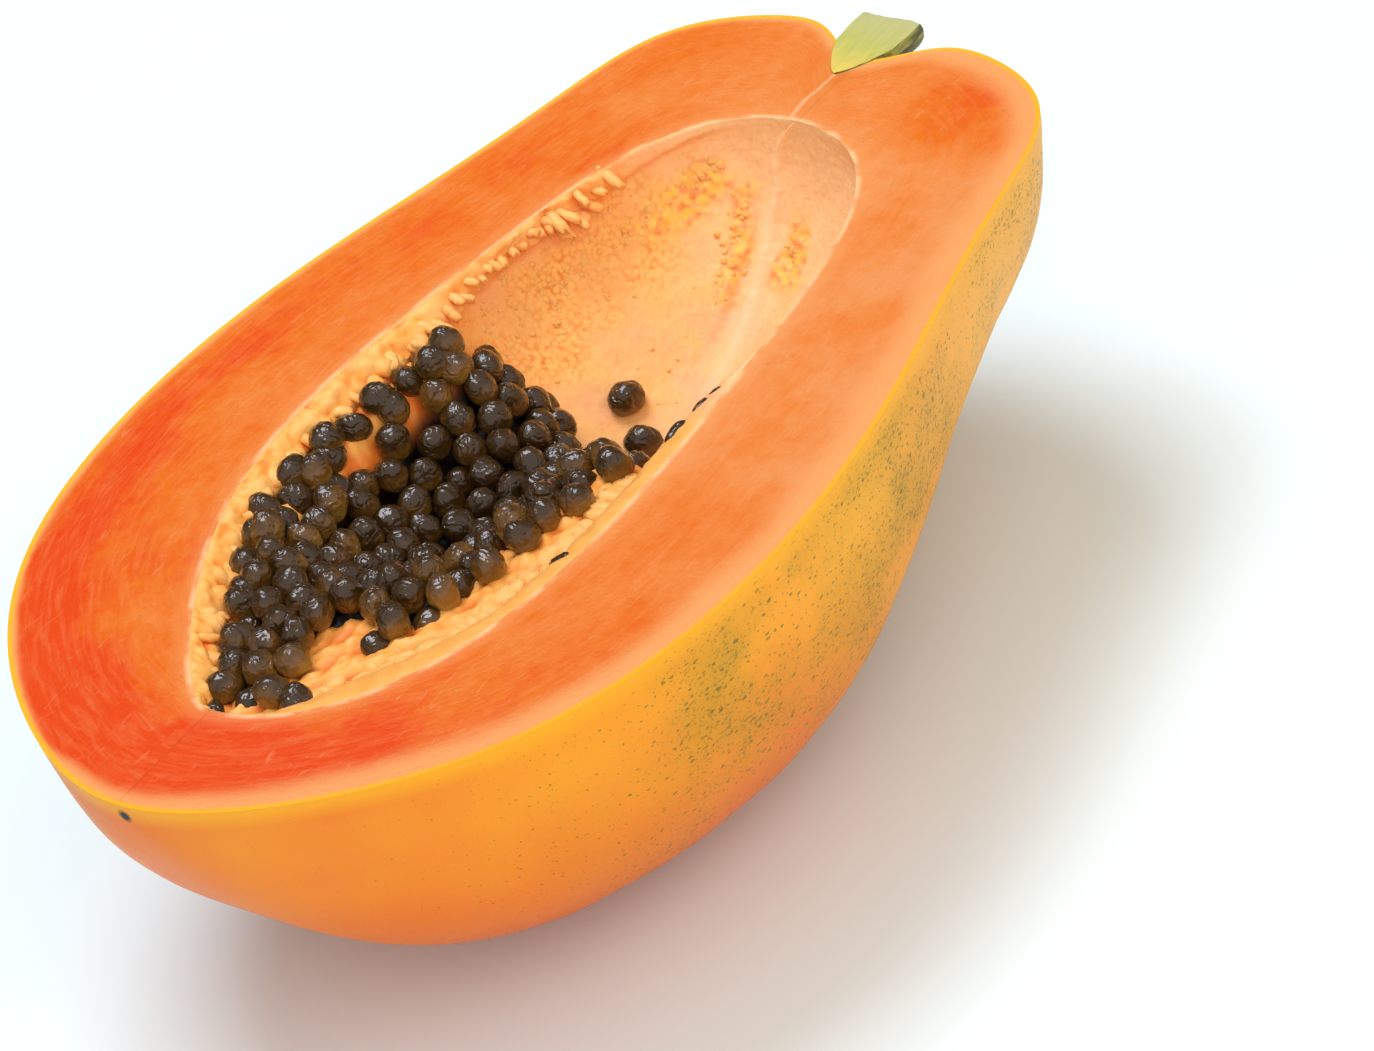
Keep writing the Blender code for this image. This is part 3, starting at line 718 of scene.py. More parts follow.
def flesh_material(look):
    """Ripe papaya flesh cut with a knife: wet, fine fibres in orange red, softer near the seeds, with
    a peach band and a thin yellow line where it meets the skin."""
    material, add, shader = new_material("Papaya flesh, ripe and knife cut")
    spot = add("NewGeometry")
    parts = add("SeparateXYZ", {0: spot})
    along, across = parts.outputs["X"], parts.outputs["Y"]
    rind, rim, along_edge, red = (
        add("Attribute", attribute_name=name).outputs["Fac"] for name in FLESH_MARKS
    )
    clouds = add("TexNoise", {"Vector": spot, "Scale": 55.0, "Detail": 3.0})
    red = add("Math", {0: clouds, 1: 1.0, 2: red}, operation="MULTIPLY_ADD")
    # Mottling of 2 to 4 mm, where the cut runs through softer and firmer flesh
    mottle = add("TexNoise", {"Vector": spot, "Scale": 330.0, "Detail": 3.0, "Roughness": 0.6})
    red = add("Math", {0: mottle, 1: 0.55, 2: red}, operation="MULTIPLY_ADD")
    red = add("Math", {0: red, 1: 0.775}, operation="SUBTRACT")
    tones = (0.0, look.flesh_peach), (0.25, look.flesh_soft), (0.6, look.flesh_orange), (1.0, look.flesh_red)
    coloured = add("ValToRGB", {0: red}, stops=tones)
    # Fibres along the edge, about 0.7 mm apart and 10 mm long
    flow = add("CombineXYZ", {0: rind, 1: along_edge})
    flow = add("Mapping", {"Vector": flow, "Scale": (0.8, 0.10, 1.0)})
    streaks = {"Vector": flow, "Scale": 1.0, "Detail": 4.0, "Roughness": 0.6, "Distortion": 0.6}
    fibres = add("TexNoise", streaks)
    fibre = add("MapRange", {"Value": fibres, "From Min": 0.45, "From Max": 0.75, "To Max": 0.32})
    # Short pale vessel marks of 2 to 4 mm, cut through by the knife
    bent = add("Mapping", {"Vector": spot, "Rotation": (0.0, 0.0, 0.65), "Scale": (210.0, 900.0, 1.0)})
    vessels = add("TexNoise", {"Vector": bent, "Scale": 1.0, "Detail": 1.0, "Distortion": 1.2})
    vessel = add("MapRange", {"Value": vessels, "From Min": 0.66, "From Max": 0.80, "To Max": 0.20})
    # The peach band under the skin, about 2 mm wide on the far side and 9 mm on the near side
    widths = {"Value": across, "From Min": 0.02, "From Max": -0.03, "To Min": 2.4, "To Max": 9.0}
    wide = add("MapRange", widths)
    ripple = add("Math", {0: clouds, 1: 3.0, 2: rind}, operation="MULTIPLY_ADD")
    ripple = add("Math", {0: ripple, 1: 1.5}, operation="SUBTRACT")
    inward = add("Math", {0: ripple, 1: wide}, operation="DIVIDE")
    reach = {"Value": inward, "From Min": 1.0, "From Max": 0.25, "To Max": 0.92}
    band = add("MapRange", reach, interpolation_type="SMOOTHSTEP")
    # The thin yellow line of the skin's inner layer, about 1 mm
    line = add("MapRange", {"Value": rind, "From Min": 1.3, "From Max": 0.5})
    # Paler flesh and a broken whitish line at the cavity's mouth
    near = add("MapRange", {"Value": rim, "From Min": 4.0, "From Max": 0.3, "To Max": 0.45})
    lip = add("MapRange", {"Value": rim, "From Min": 1.2, "From Max": 0.3, "To Max": 0.62})
    broken = add("TexNoise", {"Vector": spot, "Scale": 170.0, "Detail": 2.0})
    here = add("MapRange", {"Value": broken, "From Min": 0.36, "From Max": 0.56})
    lip = add("Math", {0: lip, 1: here}, operation="MULTIPLY")
    # The vessel that runs from the cavity to the stem
    middle = add("Math", {0: across, 1: 0.0019}, operation="SUBTRACT")
    sway = add("Math", {0: broken, 1: 0.0022, 2: middle}, operation="MULTIPLY_ADD")
    sway = add("Math", {0: sway, 1: 0.0011}, operation="SUBTRACT")
    aside = add("Math", {0: sway}, operation="ABSOLUTE")
    cord = add("MapRange", {"Value": aside, "From Min": 0.0006, "From Max": 0.0001, "To Max": 0.8})
    past = add("Math", {0: along, 1: CAVITY_END - REST_X - MM}, operation="GREATER_THAN")
    cord = add("Math", {0: cord, 1: past}, operation="MULTIPLY")
    for share, colour in (
        (fibre, look.flesh_pale),
        (vessel, look.flesh_vessel),
        (band, look.flesh_band),
        (line, look.rind_line),
        (near, look.flesh_band),
        (lip, look.mouth_line),
        (cord, look.flesh_vessel),
    ):
        coloured = add("Mix", {0: share, 6: coloured, 7: opaque(colour)}, data_type="RGBA")
    # Wet, finely grained cut: cells of about 0.4 mm
    grain = add("TexNoise", {"Vector": spot, "Scale": 1300.0, "Detail": 2.0})
    high = add("Math", {0: fibres, 1: 1.5, 2: grain}, operation="MULTIPLY_ADD")
    bump = add("Bump", {"Height": high, "Strength": 0.45, "Distance": 0.0002})
    feed(shader, {"Base Color": coloured, "Normal": bump, "Roughness": 0.42, "IOR": 1.36, "Specular IOR Level": 0.25})
    feed(shader, {"Subsurface Weight": 0.30, "Subsurface Radius": (1.0, 0.35, 0.15), "Subsurface Scale": 0.004})
    return material


def lining_material(look):
    """The moist lining of the seed cavity: peach and smooth, with orange pits where seeds sat, bits of yellow tissue
    and a pale seam, and cream pulp in soft folds round the seeds. Light and shade are painted in: cream on the pulp's
    crests, orange in its folds, dark deep between the seeds, orange at the step under the far rim, beside the seam and
    between the bits, and a paler wall towards the stem."""
    material, add, shader = new_material(LINING)
    spot = add("NewGeometry")
    pulp, grain, flecks, seam, step, pale, lip, height, shade = (
        add("Attribute", attribute_name=name).outputs["Fac"] for name in LINING_MARKS
    )
    clouds = add("TexNoise", {"Vector": spot, "Scale": 110.0, "Detail": 4.0})
    coloured = add("ValToRGB", {0: clouds}, stops=((0.35, look.wall_peach), (0.65, look.wall_yellow)))
    # Fine grain of 0.7 mm all over
    fine = add("TexNoise", {"Vector": spot, "Scale": 1100.0, "Detail": 2.0})
    dots = add("MapRange", {"Value": fine, "From Min": 0.5, "From Max": 0.75, "To Max": 0.22})
    # Pits of about 1 mm with orange between grains of yellow
    cells = add("TexVoronoi", {"Vector": spot, "Scale": 1050.0})
    pit = add("MapRange", {"Value": cells, "From Min": 0.38, "From Max": 0.80, "To Max": 0.85})
    here = add("MapRange", {"Value": clouds, "From Min": 0.38, "From Max": 0.62, "To Min": 0.25})
    pitted = add("Math", {0: pit, 1: here}, operation="MULTIPLY", use_clamp=True)
    # Soft bits of yellow tissue, a little over 1 mm, with orange in the gaps, partly their own colour and partly
    # painted shade between them
    soft = add("TexVoronoi", {"Vector": spot, "Scale": 850.0}, feature="SMOOTH_F1")
    bit = add("MapRange", {"Value": soft, "From Min": 0.55, "From Max": 0.25, "To Max": 0.9})
    bit_gap_shade = add("MapRange", {"Value": soft, "From Min": 0.42, "From Max": 0.70, "To Max": 0.65})
    for where, strength, colour in (
        # Painted light: a paler wall towards the stem
        (pale, 0.85, look.wall_painted_light),
        (dots, 1.0, look.wall_pit_and_shade),
        (grain, 0.35, look.wall_fleck),
        (grain, pitted, look.wall_pit_and_shade),
        # Painted shade in orange between the bits
        (flecks, bit_gap_shade, look.wall_pit_and_shade),
        (flecks, bit, look.wall_fleck),
        (seam, 0.5, look.wall_seam),
        # Painted shade along the step and beside the seam
        (step, 0.55, look.wall_pit_and_shade),
        (lip, 0.9, look.mouth_line),
    ):
        share = add("Math", {0: where, 1: strength}, operation="MULTIPLY", use_clamp=True)
        coloured = add("Mix", {0: share, 6: coloured, 7: opaque(colour)}, data_type="RGBA")
    # Pulp: painted highlight in cream where it stands up, painted shade in orange in its folds, and dark painted shade
    # deep between the seeds
    crest_light_share = add("MapRange", {"Value": height, "From Min": -0.7, "From Max": 0.7})
    tones = (0.0, look.pulp_fold_shade), (0.40, look.pulp), (1.0, look.pulp_crest_highlight)
    pulp_painted_light = add("ValToRGB", {0: crest_light_share}, stops=tones)
    for share, over in ((pulp, pulp_painted_light), (shade, opaque(look.shade))):
        coloured = add("Mix", {0: share, 6: coloured, 7: over}, data_type="RGBA")
    rough = add("Math", {0: soft, 1: fine}, operation="ADD")
    bump = add("Bump", {"Height": rough, "Strength": 0.35, "Distance": 0.0003})
    feed(shader, {"Base Color": coloured, "Normal": bump, "Roughness": 0.42, "IOR": 1.36, "Specular IOR Level": 0.35})
    feed(shader, {"Subsurface Weight": 0.20, "Subsurface Radius": (1.0, 0.6, 0.3), "Subsurface Scale": 0.0005})
    return material


def seed_material(look):
    """Papaya seed in its coat: a black-brown, wrinkled stone in clear olive jelly, wet enough to mirror the light in
    broken patches. Its lower side is painted lighter and more olive, as painted light for the glow through the jelly,
    and its top is painted darker."""
    material, add, shader = new_material("Papaya seed in its wet coat")
    spot = add("NewGeometry")
    tone_and_painted_light = add("Attribute", attribute_name="tone_and_painted_light").outputs["Fac"]
    mottle = add("TexNoise", {"Vector": spot, "Scale": 420.0, "Detail": 3.0})
    both = add("Math", {0: mottle, 1: 0.7, 2: tone_and_painted_light}, operation="MULTIPLY_ADD")
    both = add("Math", {0: both, 1: 0.35}, operation="SUBTRACT")
    # The tone runs from black to olive: each seed's own tone, with painted shade on the tops and deep in the bowl, and
    # a painted glow on the lower sides
    tones = (0.10, look.seed_black), (0.50, look.seed_brown), (1.0, look.seed_olive)
    coloured = add("ValToRGB", {0: both}, stops=tones)
    # Wrinkles of the stone under the jelly, 1 to 2 mm long
    wrinkles = add("TexNoise", {"Vector": spot, "Scale": 420.0, "Detail": 1.5, "Distortion": 1.2})
    bump = add("Bump", {"Height": wrinkles, "Strength": 0.6, "Distance": 0.0009})
    coat = add("Bump", {"Height": wrinkles, "Strength": 0.75, "Distance": 0.0011})
    feed(shader, {"Base Color": coloured, "Normal": bump, "Roughness": 0.40, "IOR": 1.38, "Specular IOR Level": 0.15})
    feed(shader, {"Coat Normal": coat, "Coat Weight": 1.0, "Coat Roughness": 0.05, "Coat IOR": 1.50})
    return material


def stem_material(look):
    """Papaya stem: pale green fibres where the knife went through, in a dull grey-green rind."""
    material, add, shader = new_material("Papaya stem, cut lengthwise")
    spot = add("NewGeometry")
    inside = add("Attribute", attribute_name="cut").outputs["Fac"]
    drawn = add("Mapping", {"Vector": spot, "Scale": (120.0, 900.0, 900.0)})
    fibres = add("TexNoise", {"Vector": drawn, "Scale": 1.0, "Detail": 3.0})
    parts = add("SeparateXYZ", {0: spot})
    ends = {"Value": parts, "From Min": STEM_POINT - REST_X, "From Max": STEM_END - REST_X}
    outward = add("MapRange", ends)
    streaks = add("Math", {0: fibres, 1: 0.6, 2: outward}, operation="MULTIPLY_ADD")
    streaks = add("Math", {0: streaks, 1: 0.3}, operation="SUBTRACT")
    fresh = (0.0, look.stem_root), (0.45, look.stem_green), (1.0, look.stem_pale)
    dull = (0.45, look.stem_bark), (0.70, look.stem_green), (0.85, look.stem_brown)
    cut = add("ValToRGB", {0: streaks}, stops=fresh)
    bark = add("ValToRGB", {0: fibres}, stops=dull)
    both = add("Mix", {0: inside, 6: bark, 7: cut}, data_type="RGBA")
    bump = add("Bump", {"Height": fibres, "Strength": 0.5, "Distance": 0.0004})
    feed(shader, {"Base Color": both, "Normal": bump, "Roughness": 0.60, "IOR": 1.45})
    return material


def add_lump(verts, faces, ball, centre, size, heading, tilt, swelling):
    """Adds one seed or blob: an ellipsoid with swelling(direction) added, turned and tipped. Its points
    come back."""
    points, ball_faces = ball
    turned = Matrix.Rotation(heading, 3, "Z") @ Matrix.Rotation(tilt, 3, "Y")
    centre = place(centre)
    start = len(verts)
    for direction in points:
        grown = direction * (1 + swelling(direction))
        verts.append(centre + turned @ Vector(grown[k] * size[k] for k in range(3)))
    faces.extend(tuple(start + corner for corner in corners) for corners in ball_faces)
    return verts[start:]


def colour_choice(name, description, hex_colour):
    """A colour setting with an sRGB default."""
    return bpy.props.FloatVectorProperty(
        name=name, description=description, subtype="COLOR", default=linear(hex_colour)
    )


class PapayaFruitSettings(bpy.types.PropertyGroup):
    relief: bpy.props.FloatProperty(name="Wall relief", description="Height of pulp folds and pits", default=1.0)
    skin_deep: colour_choice("Skin below", "Deep orange of the back", "E8661A")
    skin_orange: colour_choice("Skin orange", "Orange of the sides", "EC7A1E")
    skin_yellow: colour_choice("Skin yellow", "Yellow near the stem end", "F29A1C")
    skin_green: colour_choice("Skin green", "Where it is least ripe", "F4A822")
    skin_olive: colour_choice("Skin olive", "Clouds of olive", "AE8A18")
    skin_edge: colour_choice("Skin edge", "Yellow strip under the cut", "F5A818")
    skin_fleck: colour_choice("Skin flecks", "Fine flecks", "5E5C24")
    scar: colour_choice("Blossom scar", "Dark spot at the tip", "1C1410")
    flesh_peach: colour_choice("Flesh peach", "Least ripe flesh", "E08C4E")
    flesh_red: colour_choice("Flesh red", "Ripest flesh", "DA4406")
    flesh_orange: colour_choice("Flesh orange", "Most of the flesh", "DC6A16")
    flesh_soft: colour_choice("Flesh salmon", "Near the stem end", "DF7E36")
    flesh_pale: colour_choice("Fibres", "Pale fibres in the flesh", "E68A50")
    flesh_vessel: colour_choice("Vessels", "Short vessel marks", "F0B080")
    flesh_band: colour_choice("Flesh at the skin", "Peach band under the skin", "E89C5C")
    rind_line: colour_choice("Skin line", "Yellow line round the cut", "F4AA20")
    mouth_line: colour_choice("Mouth line", "Whitish line round the cavity", "FAD09A")
    wall_peach: colour_choice("Wall peach", "Bare cavity wall", "F6AE74")
    wall_yellow: colour_choice("Wall yellow", "Yellower parts of the wall", "F8BA6A")
    # Painted light on the wall towards the stem end
    wall_painted_light: colour_choice("Wall pale", "Paler wall towards the stem", "FFC88E")
    # The wall's pits and folds, and also the painted shade at the step, beside the seam and between bits
    wall_pit_and_shade: colour_choice("Wall pits", "Pits and folds", "E87A32")
    wall_fleck: colour_choice("Wall flecks", "Bits of yellow pulp", "FEC24C")
    wall_seam: colour_choice("Wall seams", "Pale lengthwise seams", "FFD0A0")
    pulp: colour_choice("Pulp", "Pulp round the seeds", "F7A64C")
    # Painted highlight: cream on the pulp's crests
    pulp_crest_highlight: colour_choice("Pulp crests", "Cream crests of the pulp", "FAB868")
    # Painted shade: orange in the pulp's folds
    pulp_fold_shade: colour_choice("Pulp folds", "Orange between the crests", "EC7A2C")
    # Painted shade deep between the seeds
    shade: colour_choice("Shade", "Depth between the seeds", "150D09")


class PapayaSeedSettings(bpy.types.PropertyGroup):
    wrinkle: bpy.props.FloatProperty(
        name="Wrinkles", description="Share of a seed's size that its wrinkles take", default=0.050
    )
    # Also carries the painted shade on the seeds' tops and deep in the bowl
    seed_black: colour_choice("Seed black", "Darkest seeds", "38240A")
    seed_brown: colour_choice("Seed brown", "Most seeds", "704A1A")
    # Also carries the painted glow on the seeds' lower sides
    seed_olive: colour_choice("Seed olive", "Lightest seeds", "9C7830")


class PapayaStemSettings(bpy.types.PropertyGroup):
    stem_root: colour_choice("Stem root", "Yellow point in the flesh", "E0C050")
    stem_green: colour_choice("Stem green", "Cut fibres", "B8B456")
    stem_pale: colour_choice("Stem pale", "Dry outer end", "B6B274")
    stem_bark: colour_choice("Stem rind", "Grey-green rind", "4E5028")
    stem_brown: colour_choice("Stem brown", "Dry rind", "8A5A3A")


class PapayaStageSettings(bpy.types.PropertyGroup):
    floor_size: bpy.props.FloatProperty(name="Floor", description="Side of the floor", default=6.0, unit="LENGTH")
    floor_colour: colour_choice("Floor colour", "Plain pale floor", "E9F5F4")
    softbox_power: bpy.props.FloatProperty(
        name="Softbox", description="Power of the light overhead", default=10.5, unit="POWER"
    )
    fill_power: bpy.props.FloatProperty(
        name="Fill", description="Power of the light in front", default=6.6, unit="POWER"
    )
    sky: bpy.props.FloatProperty(name="Surroundings", description="Strength of the light all round", default=0.85)
    lens: bpy.props.FloatProperty(name="Lens", description="Focal length", default=183.4, unit="CAMERA")


class PAPAYA_OT_half(bpy.types.Operator):
    """Make the flesh, its skin and the wall of the seed cavity"""

    bl_idname = "papaya.half"
    bl_label = "Flesh and skin"

    def execute(self, context):
        look = context.scene.papaya_fruit
        verts, faces, kinds, marks = fruit_points(look.relief)
        surfaces = [skin_material(look), flesh_material(look), lining_material(look)]
        half = add_piece("papaya_flesh_and_skin", verts, faces, surfaces, marks, kinds)
        half.data.set_sharp_from_angle(angle=math.radians(40))
        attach(half, "root")
        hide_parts("papaya_half")
        return {"FINISHED"}


class PAPAYA_OT_pulp(bpy.types.Operator):
    """Make the folds, stubs and grains of pulp on the cavity's rim and wall"""

    bl_idname = "papaya.pulp"
    bl_label = "Pulp"

    def execute(self, context):
        rng = random.Random(RANDOM_SEED + 5)
        coarse, fine = sphere_points(8, 6), sphere_points(10, 9)
        verts, faces = [], []
        marks = {name: [] for name in MARKS}

        def blob(centre, size, heading, tilt, kind, ball):
            offset = Vector(rng.uniform(0, 50) for _ in range(3))

            def swelling(direction):
                flat = math.hypot(direction.x, direction.y)
                blunt = 0.30 * (1 - flat) * flat * 4 * kind.get("blunt", 0.0)
                uneven = 0.35 * noise.noise(direction * 1.5 + offset)
                return blunt + uneven + 0.12 * noise.noise(direction * 4 + offset)

            made = add_lump(verts, faces, ball, centre, size, heading, tilt, swelling)
            for name, numbers in marks.items():
                # Painted light: each blob is marked lighter on top and darker underneath, by as much as its kind says
                if name == "height":
                    top_light = kind.get("top_light", 0.6)
                    numbers.extend(kind.get("height", 0) - top_light * direction.x for direction in ball[0])
                else:
                    numbers.extend([kind.get(name, 0.0)] * len(made))

        # Folds of the far shelf, ending in round tips between the seeds
        pitch = 3.4 * MM
        along = 30 * MM
        while along < 117 * MM:
            width = shelf(along, 1)
            wide = pitch * rng.uniform(0.25, 0.70)
            thick = 0.7 * wide
            length = max(width, 3 * MM) * rng.uniform(0.40, 0.60)
            inside = width - length * rng.uniform(0.2, 0.8)
            across = mouth(along, 1) - inside
            sunk = -SHELF_DROP * (max(inside, 0) / max(width, MM)) ** SHELF_CURVE
            slope = math.atan2(mouth(along + MM, 1) - mouth(along - MM, 1), 2 * MM)
            blob(
                Vector((along, across, sunk - thick * rng.uniform(0.55, 0.9))),
                (thick, wide, length),
                math.pi / 2 + slope + rng.uniform(-0.6, 0.6),
                math.pi / 2 - 0.30 + rng.uniform(-0.15, 0.15),
                {"pulp": 1.0, "height": rng.uniform(-0.3, 0.4), "top_light": 0.5},
                fine,
            )
            along += pitch * rng.uniform(0.4, 1.6)
        # Pulp that reaches in between the seeds of the near side
        along = 0.034
        while along < 0.096:
            edge = mouth(along, -1) - shelf(along, -1)
            thick = rng.uniform(1.0, 1.5) * MM
            inside = rng.uniform(-1.5, 2.4) * MM
            blob(
                Vector((along, inside - edge, -SHELF_DROP - rng.uniform(0.2, 1.0) * MM)),
                (thick, rng.uniform(1.6, 3.0) * MM, rng.uniform(2.0, 4.2) * MM),
                math.pi / 2 + rng.uniform(-0.6, 0.6),
                math.pi / 2 + rng.uniform(-0.1, 0.35),
                {"pulp": 1.0, "height": rng.uniform(0.1, 0.6), "top_light": 0.35},
                fine,
            )
            along += rng.uniform(1.2, 2.8) * MM
        # Blunt stubs that stick out from the far rim over the bare wall
        for start, stop, pitch, level, reach in STUBS:
            along = start * MM
            while along < stop * MM:
                height = level * MM + rng.uniform(-0.7, 0.7) * MM
                length = reach * MM * rng.uniform(0.8, 1.3)
                thick = rng.uniform(0.62, 0.95) * MM
                blob(
                    Vector((along, self.wall_across(along, height) - length * rng.uniform(0.15, 0.5), height)),
                    (thick, thick * rng.uniform(0.95, 1.3), length),
                    -math.pi / 2 + rng.uniform(-0.35, 0.45),
                    math.radians(rng.uniform(98, 122)),
                    {"pulp": 0.7, "height": rng.uniform(-0.3, 0.3), "blunt": 1.0},
                    fine,
                )
                along += pitch * MM * rng.uniform(0.35, 1.7)
        # Bits and grains on the bare wall
        for start, first, stop, last, spread, number, size in GRAINS:
            for _ in range(number):
                share = rng.random()
                along = (start + (stop - start) * share + rng.gauss(0, spread)) * MM
                angle = math.radians(first + (last - first) * share + rng.gauss(0, spread) * 2.2)
                wide = size * MM * rng.uniform(0.5, 1.4)
                blob(
                    self.on_wall(along, angle, 0.70 * wide),
                    (wide, wide * rng.uniform(0.8, 1.2), wide * rng.uniform(0.9, 1.6)),
                    rng.uniform(0, math.pi),
                    rng.uniform(0, math.pi),
                    {"pulp": 0.9, "height": rng.uniform(0.2, 0.8), "top_light": 0.0},
                    coarse,
                )
        pulp = add_piece("papaya_pulp", verts, faces, [bpy.data.materials[LINING]], marks)
        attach(pulp, "root")
        return {"FINISHED"}

    def wall_across(self, along, height):
        """Where the far wall stands at this height."""
        low, high = 0.0, mouth(along, 1)
        for _ in range(24):
            middle = (low + high) / 2
            if wall_height(along, middle) < height:
                low = middle
            else:
                high = middle
        return low

    def on_wall(self, along, angle, sunk):
        """A point of the bare wall at this angle, sunk into it."""
        side = 1 if math.cos(angle) > 0 else -1
        inner = max(mouth(along, side) - shelf(along, side), LEAST)
        deep = max(depth(along), LEAST)
        reach = wall_ridge(angle) / math.hypot(math.cos(angle) / inner, math.sin(angle) / deep) + sunk
        return Vector((along, reach * math.cos(angle), reach * math.sin(angle)))


class PAPAYA_OT_seeds(bpy.types.Operator):
    """Make the seeds, those that lie apart included, and what lies under them"""

    bl_idname = "papaya.seeds"
    bl_label = "Seeds"

    def execute(self, context):
        look = context.scene.papaya_seeds
        rng = random.Random(RANDOM_SEED + 2)
        shape_rng = random.Random(RANDOM_SEED + 3)
        ball = sphere_points(22, 16)
        verts, faces, tones = [], [], []

        def seed(centre, length, width, heading, tilt, tone_and_painted_light):
            offset = Vector(shape_rng.uniform(0, 80) for _ in range(3))
            pear = shape_rng.uniform(-0.10, 0.14)
            ripple = look.wrinkle * shape_rng.uniform(0.5, 1.8)

            def swelling(direction):
                folds = abs(noise.noise(direction * 2.6 + offset)) + 0.5 * abs(noise.noise(direction * 5.5 + offset))
                return 0.03 + pear * direction.z + 0.14 * noise.noise(direction * 1.0 + offset) - 2 * ripple * folds

            size = (width / 2, width / 2 * shape_rng.uniform(0.90, 1.05), length / 2)
            made = add_lump(verts, faces, ball, centre, size, heading, tilt, swelling)
            middle = place(centre).z
            # Painted light: each seed's tone is painted darker on top and lighter towards its lower side, for the glow
            # through its jelly
            tones.extend(tone_and_painted_light - 0.50 * (point.z - middle) / (length / 2) for point in made)

        showing = []
        for middle in seed_places():
            from_edge = middle.y + mouth(middle.x, -1) - shelf(middle.x, -1)
            in_pulp = from_edge < PULPY_STRIP and middle.x < PULPY_TO and shape_rng.random() < PULPY_CHANCE
            length = SEED_LENGTH * rng.uniform(1 - SEED_UNEVENNESS, 1 + SEED_UNEVENNESS)
            heading = rng.uniform(0, math.pi)
            tilt = rng.uniform(0, SEED_TILT)
            # Painted shade: seeds lower in the bowl get a darker tone
            deep = smooth((-middle.z * 1000 - 6) / 12)
            in_pulp = in_pulp or shape_rng.random() < PATCH_CHANCE * bed_patch(Vector((middle.x, middle.y, 0.0)))
            if not in_pulp:
                seed(middle, length, SEED_WIDTH, heading, tilt, shape_rng.uniform(0.34, 0.76) - 0.45 * deep)
                showing.append(middle)
        for _ in range(DEEPER_TRIES):
            along = shape_rng.uniform(CAVITY_START, HEAP_END + HEAP_SLOPE_LENGTH)
            across = shape_rng.uniform(-NEAR_MOUTH, FAR_MOUTH)
            near, far = shelf(along, -1) - mouth(along, -1), mouth(along, 1) - shelf(along, 1)
            if not near + 8 * MM < across < far - 2.4 * MM:
                continue
            height = max(heap_height(along, across) - DEEPER_BY, wall_height(along, across, 2 * MM))
            under = Vector((along, across, height))
            if heap_height(along, across) < wall_height(along, across, SEED_ROOM) - HEAP_OVERHANG:
                continue
            if bed_patch(Vector((along, across, 0.0))) > 0.4:
                continue
            if all((under - other).length > DEEPER_NEAREST for other in showing):
                showing.append(under)
                size = shape_rng.uniform(0.88, 1.0)
                heading, tilt = shape_rng.uniform(0, math.pi), shape_rng.uniform(0, 1.5)
                seed(under, SEED_LENGTH * size, SEED_WIDTH * size, heading, tilt, shape_rng.uniform(0.0, 0.5))
        seeds = add_piece("papaya_seeds", verts, faces, [seed_material(look)], {"tone_and_painted_light": tones})
        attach(seeds, "root")
        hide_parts("seed_heap")
        verts, faces, tones = [], [], []
        for along, across in STRAY_ON_WALL:
            centre = Vector((along, across, wall_height(along, across) + STRAY_RISE))
            seed(centre, SEED_LENGTH * 1.05, SEED_WIDTH, shape_rng.uniform(0, math.pi), LYING, 0.3)
        for along, across in STRAY_AT_RIM:
            width = CUT_SEED_WIDTH * shape_rng.uniform(1.0, 1.5)
            heading = shape_rng.uniform(-0.9, 0.9)
            seed(Vector((along, across, -width / 2 - 0.3 * MM)), SEED_LENGTH * 0.9, width, heading, LYING, 0.0)
        for along, across in SEEDS_IN_SHELF:
            centre = Vector((along, across, -SHELF_DROP + 0.4 * MM))
            seed(centre, SEED_LENGTH, SEED_WIDTH, shape_rng.uniform(0, math.pi), LYING, shape_rng.uniform(0.2, 0.6))
        strays = add_piece("papaya_stray_seeds", verts, faces, [seeds.data.materials[0]], {"tone_and_painted_light": tones})
        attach(strays, "root")
        self.make_bed()
        return {"FINISHED"}

    def make_bed(self):
        """What the seeds lie in: pulp that rises between the outer seeds, and a dark sheet of painted shade in the
        middle.
        """
        columns, rows = 130, 96
        verts = []
        marks = {name: [] for name in MARKS}
        marks["pulp"] = [1.0] * (2 * (columns + 1) * (rows + 1))
        for top in (True, False):
            for i in range(columns + 1):
                along = CAVITY_START + 1.5 * MM + 104 * MM * i / columns
                near, far = -mouth(along, -1) + shelf(along, -1), mouth(along, 1) - shelf(along, 1)
                for j in range(rows + 1):
                    across = near + (far - near) * j / rows
                    spot = Vector((along, across, 0.0))
                    edge = min(across - near - 5 * MM, far - across, (along - CAVITY_START) * 0.8) * 1000
                    outer = 1 - smooth((edge + 3 * noise.noise(spot * 150) - 3.5) / 7)
                    patch = bed_patch(spot)
                    pulpy = max(outer, 0.8 * patch)
                    wall = wall_height(along, across, -1.2 * MM)
                    rise = 1 - smooth(((across - near) * 1000 + 2 * noise.noise(spot * 190) - 6) / 3)
                    rise *= 1 - smooth((along * 1000 - 90) / 22)
                    lumps = 1.2 * noise.noise(spot * 330) + 0.5 * noise.noise(spot * 800)
                    height = heap_height(along, across) - (5.4 - 3.4 * pulpy - lumps) * MM
                    height += (max(height, lumps * MM - SHELF_DROP) - height) * rise
                    inner = min(j, rows - j, i, columns - i) > 0
                    if not top or not inner:
                        height = wall - MM
                    verts.append(place(Vector((along, across, max(height, wall - MM)))))
